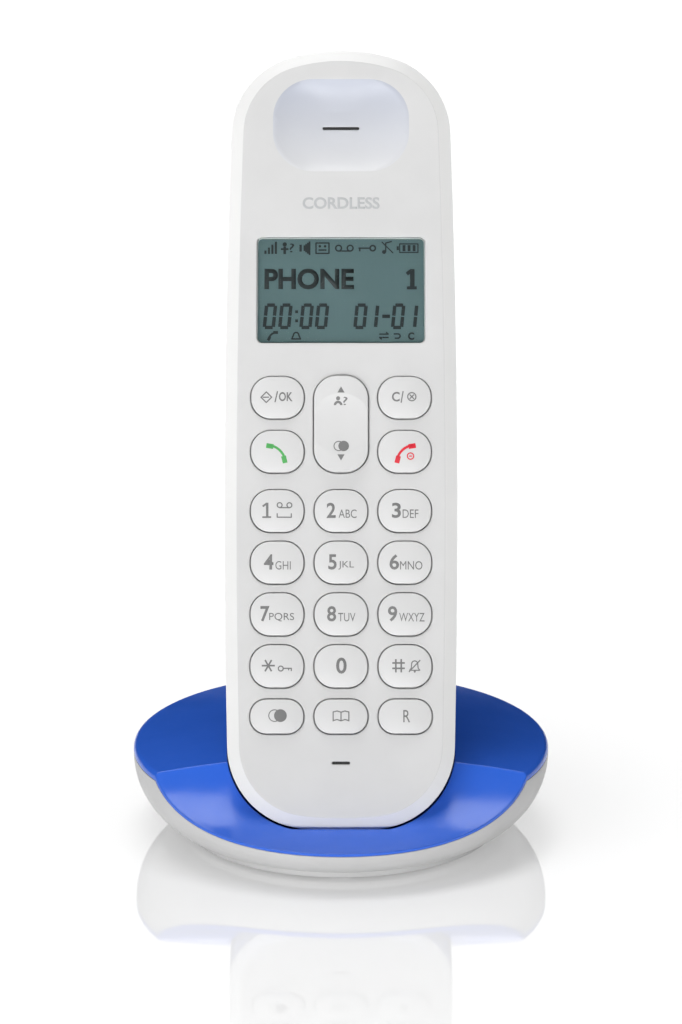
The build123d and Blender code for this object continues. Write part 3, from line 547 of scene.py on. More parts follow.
class Stencil:
    """A flat drawing in millimetres, cut from primitives and joined to one mesh."""

    def __init__(self) -> None:
        """Start an empty drawing."""
        self.pieces: list[bpy.types.Object] = []

    def take(self) -> bpy.types.Object:
        """Keep the active object as part of the drawing.

        Returns:
            The object.
        """
        thing = bpy.context.object
        self.pieces.append(thing)
        return thing

    def bar(self, start: tuple[float, float], end: tuple[float, float], width: float) -> None:
        """Add a straight stroke.

        Args:
            start: One end.
            end: The other end.
            width: The stroke's width.
        """
        run = Vector((*end, 0)) - Vector((*start, 0))
        middle = Vector((*start, 0)) + run / 2
        turn = math.atan2(run.y, run.x)
        deselect()
        bpy.ops.mesh.primitive_plane_add(size=1, location=middle, rotation=(0, 0, turn))
        thing = self.take()
        thing.scale = (run.length + width * 0.5, width, 1)
        bpy.ops.object.transform_apply(location=True, rotation=True, scale=True)

    def path(self, points: list[tuple[float, float]], width: float) -> None:
        """Add straight strokes through points.

        Args:
            points: The corners in order.
            width: The strokes' width.
        """
        for start, end in zip(points, points[1:]):
            self.bar(start, end, width)

    def disc(self, x: float, y: float, radius: float, sides: int = 32, turn: float = 0.0) -> None:
        """Add a filled disc or regular polygon.

        Args:
            x: Centre across.
            y: Centre up.
            radius: Outer radius.
            sides: Number of sides.
            turn: Rotation in radians.
        """
        deselect()
        bpy.ops.mesh.primitive_circle_add(
            vertices=sides, radius=radius, fill_type="TRIFAN", location=(x, y, 0), rotation=(0, 0, turn)
        )
        self.take()
        bpy.ops.object.transform_apply(location=True, rotation=True, scale=True)

    def ring(
        self, x: float, y: float, radius: float, width: float, start: float = 0.0, sweep: float = 360.0
    ) -> None:
        """Add a ring or an arc, spun from a short line across the stroke.

        Args:
            x: Centre across.
            y: Centre up.
            radius: Middle radius of the stroke.
            width: The stroke's width.
            start: Where the arc begins, in degrees from +x.
            sweep: How far it goes, in degrees.
        """
        deselect()
        angle = math.radians(start)
        ray = Vector((math.cos(angle), math.sin(angle), 0))
        inner = Vector((x, y, 0)) + ray * (radius - width / 2)
        bpy.ops.mesh.primitive_plane_add(size=width, location=inner)
        self.take()
        bpy.ops.object.transform_apply(location=True, rotation=True, scale=True)
        bpy.ops.object.mode_set(mode="EDIT")
        bpy.ops.mesh.select_mode(type="VERT")
        bpy.ops.mesh.select_all(action="SELECT")
        bpy.ops.mesh.merge(type="COLLAPSE")
        bpy.ops.mesh.extrude_region_move(TRANSFORM_OT_translate={"value": ray * width})
        bpy.ops.mesh.select_all(action="SELECT")
        steps = max(6, round(abs(sweep) / 9))
        bpy.ops.mesh.spin(
            steps=steps, angle=math.radians(sweep), center=(x, y, 0), axis=(0, 0, -1), dupli=False
        )
        bpy.ops.mesh.select_all(action="SELECT")
        bpy.ops.mesh.remove_doubles(threshold=0.001)
        bpy.ops.object.mode_set(mode="OBJECT")

    def words(
        self, text: str, x: float, y: float, height: float, width: float, weight: float = 0.0
    ) -> None:
        """Add lettering, its left lower corner at a place.

        Args:
            text: What it says.
            x: Left edge.
            y: Foot of the letters.
            height: Height of a capital.
            width: Whole width.
            weight: How much the strokes are thickened, as a share of the letters' size.
        """
        deselect()
        bpy.ops.object.text_add()
        thing = bpy.context.object
        thing.data.body = text
        thing.data.resolution_u = 4
        thing.data.offset = weight
        bpy.ops.object.convert(target="MESH")
        thing = self.take()
        xs = [v.co.x for v in thing.data.vertices]
        ys = [v.co.y for v in thing.data.vertices]
        scale_x = width / (max(xs) - min(xs))
        scale_y = height / (max(ys) - min(ys))
        thing.scale = (scale_x, scale_y, 1)
        thing.location = (x - min(xs) * scale_x, y - min(ys) * scale_y, 0)
        bpy.ops.object.transform_apply(location=True, rotation=True, scale=True)

    def one(self, x: float, y: float, height: float, width: float, stroke: float) -> None:
        """Add a figure one: stem, flag and foot.

        Args:
            x: Left edge.
            y: Foot.
            height: Its height.
            width: Its whole width.
            stroke: Thickness of its strokes.
        """
        inset = stroke / 4
        stem = x + width * 0.55
        top = y + height
        sole = y + stroke * 0.35
        flag_tip = (x + width * 0.1, top - height * 0.22)
        self.bar((stem, y + inset), (stem, top - inset), stroke)
        self.bar((stem - inset, top - stroke * 0.35), flag_tip, stroke * 0.8)
        self.bar((x + inset, sole), (x + width - inset, sole), stroke * 0.7)

    def joined(self, name: str, cuts: int = 3) -> bpy.types.Object:
        """Join the drawing to one mesh in metres, facing up its own z.

        Args:
            name: The new piece's name.
            cuts: How finely long edges are divided, so that the drawing can follow a curve.

        Returns:
            The mesh object.
        """
        pick(*self.pieces)
        if len(self.pieces) > 1:
            bpy.ops.object.join()
        thing = bpy.context.object
        thing.name = name
        thing.data.name = name
        bpy.ops.object.mode_set(mode="EDIT")
        bpy.ops.mesh.select_all(action="SELECT")
        bpy.ops.mesh.normals_make_consistent(inside=False)
        if cuts:
            bpy.ops.mesh.subdivide(number_cuts=cuts)
        bpy.ops.object.mode_set(mode="OBJECT")
        if sum(face.normal.z * face.area for face in thing.data.polygons) < 0:
            bpy.ops.object.mode_set(mode="EDIT")
            bpy.ops.mesh.select_all(action="SELECT")
            bpy.ops.mesh.flip_normals()
            bpy.ops.object.mode_set(mode="OBJECT")
        thing.scale = (MM, MM, MM)
        bpy.ops.object.transform_apply(location=True, rotation=True, scale=True)
        return thing


@dataclass
class Print:
    """A thin printed layer laid on a surface of the handset."""

    drawing: Stencil
    name: str
    body: str
    slot: str
    finish: Finish
    x: float
    along: float
    on: str = ""
    rise: float = 3.0
    thickness: float = 0.03
    overlap: float = 1.4
    cuts: int = 3

    def wrap(self, thing: bpy.types.Object) -> None:
        """Drop the drawing straight onto the node it is printed on.

        Args:
            thing: The drawing's mesh, in its place above the face.
        """
        wrap = thing.modifiers.new("lay", "SHRINKWRAP")
        wrap.target = frame["nodes"][self.on]
        wrap.wrap_method = "PROJECT"
        wrap.use_project_z = True
        wrap.use_negative_direction = True
        wrap.use_positive_direction = False
        wrap.offset = self.thickness * MM
        bpy.ops.object.modifier_apply(modifier=wrap.name)

    def build(self) -> bpy.types.Object:
        """Lay the drawing in its place and give it its thickness.

        Returns:
            The finished piece.
        """
        thing = self.drawing.joined(self.name, self.cuts if self.on else 0)
        thing.matrix_world = FACE.matrix(self.x * MM, self.along * MM, self.rise * MM)
        bpy.context.view_layer.update()
        pick(thing)
        if self.on:
            self.wrap(thing)
        bpy.ops.object.transform_apply(location=True, rotation=True, scale=True)
        shell = thing.modifiers.new("thickness", "SOLIDIFY")
        shell.thickness = self.thickness * self.overlap * MM
        shell.offset = -1.0
        bpy.ops.object.modifier_apply(modifier=shell.name)
        thing.data.materials.clear()
        thing.data.materials.append(self.finish.material())
        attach(thing, self.body)
        LOG.info("printed %s", self.name)
        return thing


@dataclass(frozen=True)
class DishPaintedShade:
    """Painted shade on the ear dish: a cool grey painted darker towards its top."""

    name: str = "dish_painted_shade"
    shade_low_colour: Colour = (0.66, 0.665, 0.68)
    shade_high_colour: Colour = (0.45, 0.475, 0.545)
    low_z: float = 0.137
    high_z: float = 0.153
    along: float = 146.4
    reach: tuple[float, float] = (14.6, 10.2)
    depth: tuple[float, float] = (-2.3, -0.01)

    def material(self) -> bpy.types.Material:
        """Make the dish's painted shade material from the casing's.

        Returns:
            The material.
        """
        made = WHITE.material().copy()
        made.name = self.name
        graph = Graph(made.node_tree)
        shader = next(node for node in made.node_tree.nodes if node.type == "BSDF_PRINCIPLED")
        effect = next(node for node in made.node_tree.nodes if node.type == "GROUP")
        place = graph.add("ShaderNodeTexCoord")
        parts = graph.add("ShaderNodeSeparateXYZ")
        graph.link(place.outputs["Object"], parts.inputs["Vector"])
        # painted shade: the colour darkens and cools from the dish's foot to its top
        shade_ramp = graph.add("ShaderNodeMapRange", From_Min=self.low_z, From_Max=self.high_z)
        graph.link(parts.outputs["Z"], shade_ramp.inputs["Value"])
        painted_shade = graph.add("ShaderNodeMix", data_type="RGBA")
        painted_shade.inputs["A"].default_value = (*self.shade_low_colour, 1)
        painted_shade.inputs["B"].default_value = (*self.shade_high_colour, 1)
        graph.link(shade_ramp.outputs["Result"], painted_shade.inputs["Factor"])
        graph.link(painted_shade.outputs["Result"], effect.inputs["Colour"])
        graph.link(painted_shade.outputs["Result"], effect.inputs["Second colour"])
        graph.link(effect.outputs["Colour"], shader.inputs["Base Color"])
        return made

    def paint(self, casing: bpy.types.Object) -> None:
        """Give the painted shade to the faces of the dish.

        Args:
            casing: The front casing.
        """
        casing.data.materials.append(self.material())
        place_in_list = len(casing.data.materials) - 1
        back = FACE.matrix(0, self.along * MM).inverted()
        for polygon in casing.data.polygons:
            spot = back @ polygon.center / MM
            within = abs(spot.x) < self.reach[0] and abs(spot.y) < self.reach[1]
            if within and self.depth[0] < spot.z < self.depth[1]:
                polygon.material_index = place_in_list


@dataclass(frozen=True)
class RimHighlight:
    """The bevel that runs round the face, painted brighter than the face as a painted highlight."""

    drop: float = 1.5
    steep: float = 0.75
    flat: float = 0.97

    def paint(self, casing: bpy.types.Object) -> None:
        """Give the painted highlight to the faces of the bevel.

        Args:
            casing: The front casing.
        """
        casing.data.materials.append(PAINTED_RIM.material())
        place_in_list = len(casing.data.materials) - 1
        back = FACE.matrix().inverted()
        turn = back.to_3x3()
        for polygon in casing.data.polygons:
            tilt = (turn @ polygon.normal).z
            rise = (back @ polygon.center).z / MM
            sloping = self.steep < tilt < self.flat and -self.drop < rise < 0
            if sloping and polygon.material_index == 0:
                polygon.material_index = place_in_list


@dataclass(frozen=True)
class SmoothCopy:
    """A moulded part whose facets are blended: it stands for the part's own mesh."""

    node: str
    angle: float = 28.0
    weld: float = 0.000002

    def build(self) -> bpy.types.Object:
        """Copy the part, weld it and blend its facets.

        Returns:
            The copy, dressed and riding with the part's body.
        """
        pick(frame["nodes"][self.node])
        bpy.ops.object.duplicate()
        thing = bpy.context.object
        thing.name = f"{self.node}_moulded"
        bpy.ops.object.parent_clear(type="CLEAR_KEEP_TRANSFORM")
        bpy.ops.object.mode_set(mode="EDIT")
        bpy.ops.mesh.select_all(action="SELECT")
        bpy.ops.mesh.remove_doubles(threshold=self.weld)
        bpy.ops.mesh.customdata_custom_splitnormals_clear()
        bpy.ops.object.mode_set(mode="OBJECT")
        bpy.ops.object.shade_smooth_by_angle(angle=math.radians(self.angle))
        even = thing.modifiers.new("even", "WEIGHTED_NORMAL")
        even.keep_sharp = True
        bpy.ops.object.modifier_apply(modifier=even.name)
        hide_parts(self.node)
        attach(thing, body_of(self.node))
        LOG.info("smoothed %s", self.node)
        return thing


def body_of(node: str) -> str:
    """Name the body that a CAD node belongs to.

    Args:
        node: The node's name.

    Returns:
        The body's name.
    """
    parent = frame["nodes"][node].parent
    return next(name for name, empty in frame["bodies"].items() if empty == parent)


def rounded_plate(
    name: str, size: tuple[float, float, float], corner: float, place: Matrix
) -> bpy.types.Object:
    """Make a flat plate with rounded corners, its top in the plane of its place.

    Args:
        name: The piece's name.
        size: Width, height and thickness, in millimetres.
        corner: Corner radius, in millimetres.
        place: The matrix from the plate's plane to the row frame.

    Returns:
        The plate.
    """
    deselect()
    bpy.ops.mesh.primitive_plane_add(size=1)
    thing = bpy.context.object
    thing.name = name
    thing.data.name = name
    thing.scale = (size[0] * MM, size[1] * MM, 1)
    bpy.ops.object.transform_apply(location=True, rotation=True, scale=True)
    bpy.ops.object.mode_set(mode="EDIT")
    bpy.ops.mesh.select_all(action="SELECT")
    bpy.ops.mesh.bevel(offset=corner * MM, segments=6, affect="VERTICES")
    bpy.ops.object.mode_set(mode="OBJECT")
    shell = thing.modifiers.new("thickness", "SOLIDIFY")
    shell.thickness = size[2] * MM
    shell.offset = -1.0
    bpy.ops.object.modifier_apply(modifier=shell.name)
    settle(thing, place)
    return thing


# ------------------------------------------------------------------------------------------
# Keypad
# ------------------------------------------------------------------------------------------


class Column(Enum):
    """A column of keys, as the side of the middle line that it is on."""

    LEFT = -1
    MIDDLE = 0
    RIGHT = 1


class Row(Enum):
    """A row of keys, as its place up the handset in millimetres."""

    MENU = 88.95
    NAVIGATION = 83.4
    CALL = 77.7
    ONE = 65.4
    FOUR = 54.75
    SEVEN = 44.1
    STAR = 33.45
    LOW = 23.2


@dataclass(frozen=True)
class DialSign:
    """A dialling key's figure and letters, with their left edges and widths in millimetres."""

    figure: str
    letters: str
    column: Column
    row: Row
    figure_x: float
    figure_width: float
    letters_x: float
    letters_width: float


DIAL_SIGNS = (
    DialSign("2", "ABC", Column.MIDDLE, Row.ONE, -2.95, 1.85, -0.5, 3.7),
    DialSign("3", "DEF", Column.RIGHT, Row.ONE, -2.65, 1.85, -0.45, 3.25),
    DialSign("4", "GHI", Column.LEFT, Row.FOUR, -2.7, 1.95, -0.35, 3.15),
    DialSign("5", "JKL", Column.MIDDLE, Row.FOUR, -2.6, 1.7, -0.55, 3.2),
    DialSign("6", "MNO", Column.RIGHT, Row.FOUR, -3.15, 1.95, -1.0, 4.6),
    DialSign("7", "PQRS", Column.LEFT, Row.SEVEN, -3.4, 1.85, -1.6, 5.1),
    DialSign("8", "TUV", Column.MIDDLE, Row.SEVEN, -2.85, 1.85, -0.6, 3.55),
    DialSign("9", "WXYZ", Column.RIGHT, Row.SEVEN, -3.5, 1.9, -1.2, 5.2),
)


@dataclass
class Keypad:
    """The printed signs on the keys."""

    column_pitch: float = 13.1
    digit_height: float = 3.15
    letter_height: float = 1.75
    foot: float = -1.5
    bold: float = 0.02

    def lay(
        self, drawing: Stencil, key: str, column: Column, row: Row, finish: Finish = INK, tail: str = ""
    ) -> None:
        """Lay one drawing on a key.

        Args:
            drawing: The sign.
            key: The key's node name.
            column: The key's column.
            row: The key's row.
            finish: The ink.
            tail: Added to the piece's name where a key has two drawings.
        """
        x = column.value * self.column_pitch
        Print(drawing, f"sign_{key}{tail}", f"{key}_button", "keys", finish, x, row.value, key).build()

    def digits(self) -> None:
        """Print the figures and letters of the dialling keys."""
        for sign in DIAL_SIGNS:
            key = f"key_{sign.figure}"
            drawing = Stencil()
            drawing.words(
                sign.figure, sign.figure_x, self.foot, self.digit_height, sign.figure_width, self.bold
            )
            self.lay(drawing, key, sign.column, sign.row)
            small = Stencil()
            small.words(sign.letters, sign.letters_x, self.foot, self.letter_height, sign.letters_width)
            self.lay(small, key, sign.column, sign.row, tail="_letters")
        zero = Stencil()
        zero.words("0", -1.0, -1.55, 3.3, 2.15, self.bold)
        self.lay(zero, "key_0", Column.MIDDLE, Row.STAR)

    def mailbox(self) -> None:
        """Print the figure one with its tape loops and tray."""
        drawing = Stencil()
        drawing.one(-3.1, self.foot, self.digit_height, 1.9, Stroke.BOLD.value)
        for x in (0.5, 2.5):
            drawing.ring(x, 1.15, 0.5, Stroke.THIN.value)
        drawing.bar((0.5, 0.62), (2.5, 0.62), Stroke.THIN.value)
        drawing.path([(0.0, -0.6), (0.0, -1.35), (2.9, -1.35), (2.9, -0.6)], Stroke.THIN.value)
        self.lay(drawing, "key_1", Column.LEFT, Row.ONE)

    def star_and_hash(self) -> None:
        """Print the star with its key and the hash with its crossed bell."""
        star = Stencil()
        for turn in (0.0, 60.0, 120.0):
            dx = 1.25 * math.cos(math.radians(turn))
            dy = 1.25 * math.sin(math.radians(turn))
            star.bar((-1.75 - dx, 0.1 - dy), (-1.75 + dx, 0.1 + dy), Stroke.MEDIUM.value)
        star.ring(0.8, -0.5, 0.5, Stroke.THIN.value)
        star.bar((1.35, -0.45), (3.0, -0.45), Stroke.THIN.value)
        star.bar((2.95, -0.45), (2.95, -0.95), Stroke.THIN.value)
        star.bar((2.4, -0.45), (2.4, -0.8), Stroke.THIN.value)
        self.lay(star, "key_star", Column.LEFT, Row.STAR)
        mark = Stencil()
        for shift in (-0.55, 0.55):
            mark.bar((-1.35 + shift, -1.2), (-1.35 + shift, 1.35), Stroke.MEDIUM.value)
            mark.bar((-2.55, 0.1 + shift), (-0.15, 0.1 + shift), Stroke.MEDIUM.value)
        mark.ring(1.95, 0.45, 0.62, Stroke.THIN.value, start=0, sweep=180)
        bell = [(1.33, 0.45), (1.25, -0.4), (0.9, -0.85), (3.0, -0.85), (2.65, -0.4), (2.57, 0.45)]
        mark.path(bell, 0.22)
        mark.bar((0.8, -1.15), (3.05, 1.2), Stroke.THIN.value)
        mark.disc(1.95, -1.1, 0.22, 12)
        self.lay(mark, "key_hash", Column.RIGHT, Row.STAR)

    def circles(self, x: float, y: float, radius: float) -> Stencil:
        """Draw the repeat-call sign: an open circle behind a filled one.

        Args:
            x: Middle across.
            y: Middle up.
            radius: Radius of both circles.

        Returns:
            The drawing.
        """
        drawing = Stencil()
        drawing.ring(x - radius * 0.42, y, radius - 0.12, 0.2, start=62, sweep=236)
        drawing.disc(x + radius * 0.5, y, radius, 40)
        return drawing

    def low_row(self) -> None:
        """Print the repeat, book and recall signs."""
        self.lay(self.circles(0.1, 0.15, 1.3), "key_redial", Column.LEFT, Row.LOW)
        book = Stencil()
        for hand in (-1, 1):
            cover = [(0, 0.85), (hand * 0.8, 1.1), (hand * 1.6, 0.9), (hand * 1.6, -0.95)]
            book.path(cover, Stroke.THIN.value)
            book.path([(hand * 1.6, -0.85), (hand * 0.8, -0.65), (0, -0.9)], Stroke.THIN.value)
        book.bar((0, 0.85), (0, -0.9), Stroke.THIN.value)
        self.lay(book, "key_book", Column.MIDDLE, Row.LOW)
        recall = Stencil()
        recall.words("R", -0.4, -1.2, 2.5, 1.4)
        self.lay(recall, "key_recall", Column.RIGHT, Row.LOW)

    def receiver(self, drawing: Stencil, mirror: int) -> None:
        """Draw a small telephone receiver.

        Args:
            drawing: Where to draw it.
            mirror: 1 for the call sign, -1 for the hang-up sign.
        """
        centre = (-mirror * 2.2, -2.6)
        start = 12 if mirror == 1 else 96
        drawing.ring(centre[0], centre[1], 3.9, Stroke.BOLD.value, start=start, sweep=72)
        for angle in (14, 80):
            turn = math.radians(angle if mirror == 1 else 180 - angle)
            middle = Vector((centre[0] + 3.75 * math.cos(turn), centre[1] + 3.75 * math.sin(turn)))
            along = Vector((-math.sin(turn), math.cos(turn))) * 0.5
            drawing.bar(tuple(middle - along), tuple(middle + along), 1.0)

    def call_row(self) -> None:
        """Print the coloured receivers."""
        call = Stencil()
        self.receiver(call, 1)
        self.lay(call, "key_call", Column.LEFT, Row.CALL, GREEN_INK)
        end = Stencil()
        self.receiver(end, -1)
        end.ring(1.2, -1.0, 0.65, Stroke.THIN.value)
        end.bar((0.95, -1.0), (1.45, -1.0), Stroke.THIN.value)
        self.lay(end, "key_end", Column.RIGHT, Row.CALL, RED_INK)

    def menu_row(self) -> None:
        """Print the menu and clear signs."""
        menu = Stencil()
        menu.words("OK", 0.3, -0.85, 1.9, 2.8, self.bold)
        menu.bar((-0.5, -1.0), (0.0, 1.2), Stroke.THIN.value)
        diamond = [(-2.3, 1.1), (-1.2, 0.0), (-2.3, -1.1), (-3.4, 0.0)]
        menu.path([*diamond, diamond[0]], Stroke.THIN.value)
        menu.bar((-3.0, 0.0), (-1.8, 0.0), Stroke.THIN.value)
        self.lay(menu, "key_ok", Column.LEFT, Row.MENU)
        clear = Stencil()
        clear.words("C", -2.6, -0.9, 2.0, 1.6, self.bold)
        clear.bar((-0.7, -1.1), (-0.3, 1.2), Stroke.THIN.value)
        clear.ring(1.5, 0.1, 0.85, Stroke.THIN.value)
        for hand in (-1, 1):
            clear.bar((1.1, 0.1 - hand * 0.4), (1.9, 0.1 + hand * 0.4), Stroke.THIN.value)
        self.lay(clear, "key_clear", Column.RIGHT, Row.MENU)

    def rocker(self) -> None:
        """Print the signs of the navigation key."""
        low = self.circles(0.0, -4.6, 1.1)
        low.disc(0.0, -6.8, 0.85, 3, turn=math.radians(180))
        self.lay_on_rocker(low, "sign_key_nav_low")
        high = Stencil()
        high.disc(0.0, 6.9, 0.85, 3)
        high.disc(-0.6, 5.3, 0.42, 20)
        high.ring(-0.6, 3.9, 0.65, 0.5, start=0, sweep=180)
        high.words("?", 0.45, 3.9, 1.7, 0.9)
        self.lay_on_rocker(high, "sign_key_nav_high")

    def lay_on_rocker(self, drawing: Stencil, name: str) -> None:
        """Lay one drawing on the navigation key."""
        Print(drawing, name, "nav_rocker", "keys", INK, 0, Row.NAVIGATION.value, "key_nav").build()

    def build(self) -> None:
        """Print all the signs."""
        self.digits()
        self.mailbox()
        self.star_and_hash()
        self.low_row()
        self.call_row()
        self.menu_row()
        self.rocker()


# ------------------------------------------------------------------------------------------
# Display and name plate
# ------------------------------------------------------------------------------------------

SEGMENTS = {
    "top": ((0, 2), (1, 2)),
    "middle": ((0, 1), (1, 1)),
    "bottom": ((0, 0), (1, 0)),
    "upper_left": ((0, 1), (0, 2)),
    "upper_right": ((1, 1), (1, 2)),
    "lower_left": ((0, 0), (0, 1)),
    "lower_right": ((1, 0), (1, 1)),
}
FIGURES = {
    "0": ("top", "bottom", "upper_left", "upper_right", "lower_left", "lower_right"),
    "1": ("upper_right", "lower_right"),
    "-": ("middle",),
}


@dataclass
class Display:
    """The clear pane, the grey film under it and what the display shows."""

    along: float = 111.55
    width: float = 34.8
    height: float = 22.2
    corner: float = 1.15
    pane_rise: float = -0.3
    pane_thickness: float = 0.8
    film_rise: float = -1.2
    film_thickness: float = 0.06
    film_margin: float = 0.35
    film_corner: float = 0.95
    sign_gap: float = 0.03
    sign_thickness: float = 0.02
    slant: float = 0.1
    figure_width: float = 1.85
    figure_half: float = 2.35
    segment_gap: float = 0.3
    segment_stroke: float = 0.72
    clock_foot: float = -7.7

    def figure(self, drawing: Stencil, sign: str, x: float, y: float) -> None:
        """Draw one seven-segment figure.

        Args:
            drawing: Where to draw it.
            sign: The figure.
            x: Left edge.
            y: Foot.
        """
        for segment in FIGURES[sign]:
            start, end = (
                Vector((x + across * self.figure_width, y + up * self.figure_half))
                for across, up in SEGMENTS[segment]
            )
            run = (end - start).normalized() * self.segment_gap
            points = []
            for point in (start + run, end - run):
                points.append((point.x + self.slant * (point.y - y), point.y))
            drawing.bar(points[0], points[1], self.segment_stroke)

    def clock(self) -> Stencil:
        """Draw the row with the time and the date.

        Returns:
            The drawing.
        """
        drawing = Stencil()
        time = ((-15.9, "0"), (-12.7, "0"), (-8.3, "0"), (-5.1, "0"))
        date = ((2.9, "0"), (5.3, "1"), (8.2, "-"), (10.7, "0"), (13.4, "1"))
        for x, sign in time + date:
            self.figure(drawing, sign, x, self.clock_foot)
        for y in (self.clock_foot + 1.4, self.clock_foot + 3.3):
            drawing.bar((-9.55 + self.slant * 2, y), (-9.25 + self.slant * 2, y), 0.6)
        return drawing

    def status(self) -> Stencil:
        """Draw the row of small signs at the top.

        Returns:
            The drawing.
        """
        drawing = Stencil()
        for step in range(4):
            drawing.bar((-15.7 + step * 0.72, 7.9), (-15.7 + step * 0.72, 8.4 + step * 0.62), 0.45)
        drawing.disc(-11.7, 9.8, 0.45, 20)
        drawing.bar((-11.7, 9.2), (-11.7, 7.9), 0.55)
        drawing.bar((-12.4, 8.8), (-11.0, 8.8), 0.4)
        drawing.words("?", -10.7, 8.1, 1.9, 1.0)
        drawing.path([(-8.4, 8.4), (-8.4, 9.6)], 0.5)
        for step in range(4):
            reach = 0.5 + 0.28 * step
            drawing.bar((-7.6 + step * 0.35, 9.0 - reach), (-7.6 + step * 0.35, 9.0 + reach), 0.38)
        drawing.path([(-5.2, 7.9), (-5.2, 10.1), (-2.5, 10.1), (-2.5, 7.9), (-5.2, 7.9)], 0.3)
        drawing.path([(-4.6, 8.6), (-3.1, 8.6)], 0.35)
        for x in (-4.4, -3.3):
            drawing.disc(x, 9.4, 0.28, 14)
        for x in (-0.5, 1.9):
            drawing.ring(x, 9.0, 0.6, 0.32)
        drawing.bar((-0.5, 8.4), (1.9, 8.4), 0.3)
        drawing.ring(6.6, 9.0, 0.55, 0.36)
        drawing.bar((3.7, 9.0), (6.0, 9.0), 0.32)
        drawing.bar((3.9, 9.0), (3.9, 8.4), 0.32)
        drawing.path([(9.3, 8.3), (9.3, 10.1), (10.5, 10.4)], 0.28)
        drawing.disc(8.95, 8.2, 0.42, 18)
        drawing.bar((8.5, 10.3), (10.8, 8.0), 0.25)
        drawing.path([(12.2, 8.1), (12.2, 9.9), (16.0, 9.9), (16.0, 8.1), (12.2, 8.1)], 0.25)
        drawing.bar((11.8, 8.7), (11.8, 9.3), 0.45)
        for x in (13.1, 14.15, 15.2):
            drawing.bar((x, 8.5), (x, 9.5), 0.6)
        return drawing

    def footer(self) -> Stencil:
        """Draw the row of small signs at the bottom.

        Returns:
            The drawing.
        """
        drawing = Stencil()
        drawing.ring(-13.5, -10.2, 1.4, 0.42, start=95, sweep=85)
        drawing.bar((-13.9, -8.75), (-13.2, -8.75), 0.6)
        drawing.bar((-15.05, -10.3), (-14.8, -9.8), 0.6)
        drawing.ring(-9.3, -9.3, 0.55, 0.32, start=0, sweep=180)
        drawing.path([(-9.85, -9.3), (-10.2, -10.1), (-8.4, -10.1), (-8.75, -9.3)], 0.32)
        for y, hand in ((-9.1, 1), (-9.8, -1)):
            drawing.bar((8.0, y), (9.8, y), 0.3)
            drawing.bar((8.9 + hand * 0.9, y), (8.9 + hand * 0.5, y + hand * 0.35), 0.3)
        drawing.ring(11.8, -9.5, 0.45, 0.32, start=-90, sweep=180)
        drawing.bar((11.0, -9.05), (11.8, -9.05), 0.3)
        drawing.bar((11.2, -9.95), (11.8, -9.95), 0.3)
        drawing.words("C", 13.9, -10.3, 1.6, 1.3, weight=0.04)
        return drawing

    def greeting(self) -> Stencil:
        """Draw the big line of text.

        Returns:
            The drawing.
        """
        drawing = Stencil()
        drawing.words("PHONE", -15.9, 0.3, 4.4, 18.6, weight=0.035)
        drawing.one(13.6, 0.3, 4.3, 2.2, 0.95)
        return drawing

    def build(self) -> None:
        """Build the pane, the film and the signs."""
        pane_size = (self.width, self.height, self.pane_thickness)
        place = FACE.matrix(0, self.along * MM, self.pane_rise * MM)
        pane = rounded_plate("display_pane", pane_size, self.corner, place)
        pane.data.materials.append(SLOT_FINISH["window"].material())
        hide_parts("display_lens")
        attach(pane, "handset")
        film_size = (self.width - self.film_margin, self.height - self.film_margin, self.film_thickness)
        place = FACE.matrix(0, self.along * MM, self.film_rise * MM)
        film = rounded_plate("display_film", film_size, self.film_corner, place)
        film.data.materials.append(CRYSTAL.material())
        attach(film, "handset")
        rows = {
            "display_status": self.status(),
            "display_greeting": self.greeting(),
            "display_clock": self.clock(),
            "display_footer": self.footer(),
        }
        for name, drawing in rows.items():
            Print(
                drawing,
                name,
                "handset",
                "liquid_crystal",
                SEGMENT,
                0,
                self.along,
                rise=self.film_rise + self.sign_gap,
                thickness=self.sign_thickness,
            ).build()
        LOG.info("display ready")


@dataclass(frozen=True)
class SlotShadeSheet:
    """A black sheet set just inside a sound slot, as painted shade in the slot."""

    name: str
    along: float
    width: float
    height: float
    inside: float

    def build(self) -> None:
        """Build the black sheet of painted shade."""
        place = FACE.matrix(0, self.along * MM, -self.inside * MM)
        shade_sheet = rounded_plate(self.name, (self.width, self.height, 0.1), self.height * 0.4, place)
        shade_sheet.data.materials.append(FOAM.material())
        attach(shade_sheet, "handset")
        LOG.info("fitted %s", self.name)


# black sheets that paint the shade inside the earpiece and microphone slots
SHADE_SHEETS = (
    SlotShadeSheet("earpiece_shade_sheet", 146.2, 7.66, 0.62, 2.3),
    SlotShadeSheet("microphone_shade_sheet", 13.75, 3.66, 0.57, 0.15),
)


@dataclass
class NamePlate:
    """A plain word printed between the earpiece and the display."""

    word: str = "CORDLESS"
    along: float = 128.6
    width: float = 16.0
    height: float = 2.5

    def build(self) -> None:
        """Print the word on the front casing."""
        drawing = Stencil()
        drawing.words(self.word, -self.width / 2, 0, self.height, self.width, weight=0.025)
        Print(
            drawing, "printed_word", "handset", "white_shell", PALE_INK, 0, self.along, on="front_shell"
        ).build()


# ------------------------------------------------------------------------------------------
# Studio
# ------------------------------------------------------------------------------------------


@dataclass(frozen=True)
class Softbox:
    """A soft rectangular light: its place, the point it faces, its width and height, and its watts."""

    name: str
    place: tuple[float, float, float]
    aim: tuple[float, float, float]
    size: tuple[float, float]
    power: float

    def hang(self) -> None:
        """Hang the light."""
        data = bpy.data.lights.new(self.name, "AREA")
        data.shape = "RECTANGLE"
        data.size, data.size_y = self.size
        data.energy = self.power
        lamp = bpy.data.objects.new(self.name, data)
        bpy.context.scene.collection.objects.link(lamp)
        lamp.location = self.place
        lamp.rotation_euler = (Vector(self.aim) - Vector(self.place)).to_track_quat("-Z", "Y").to_euler()


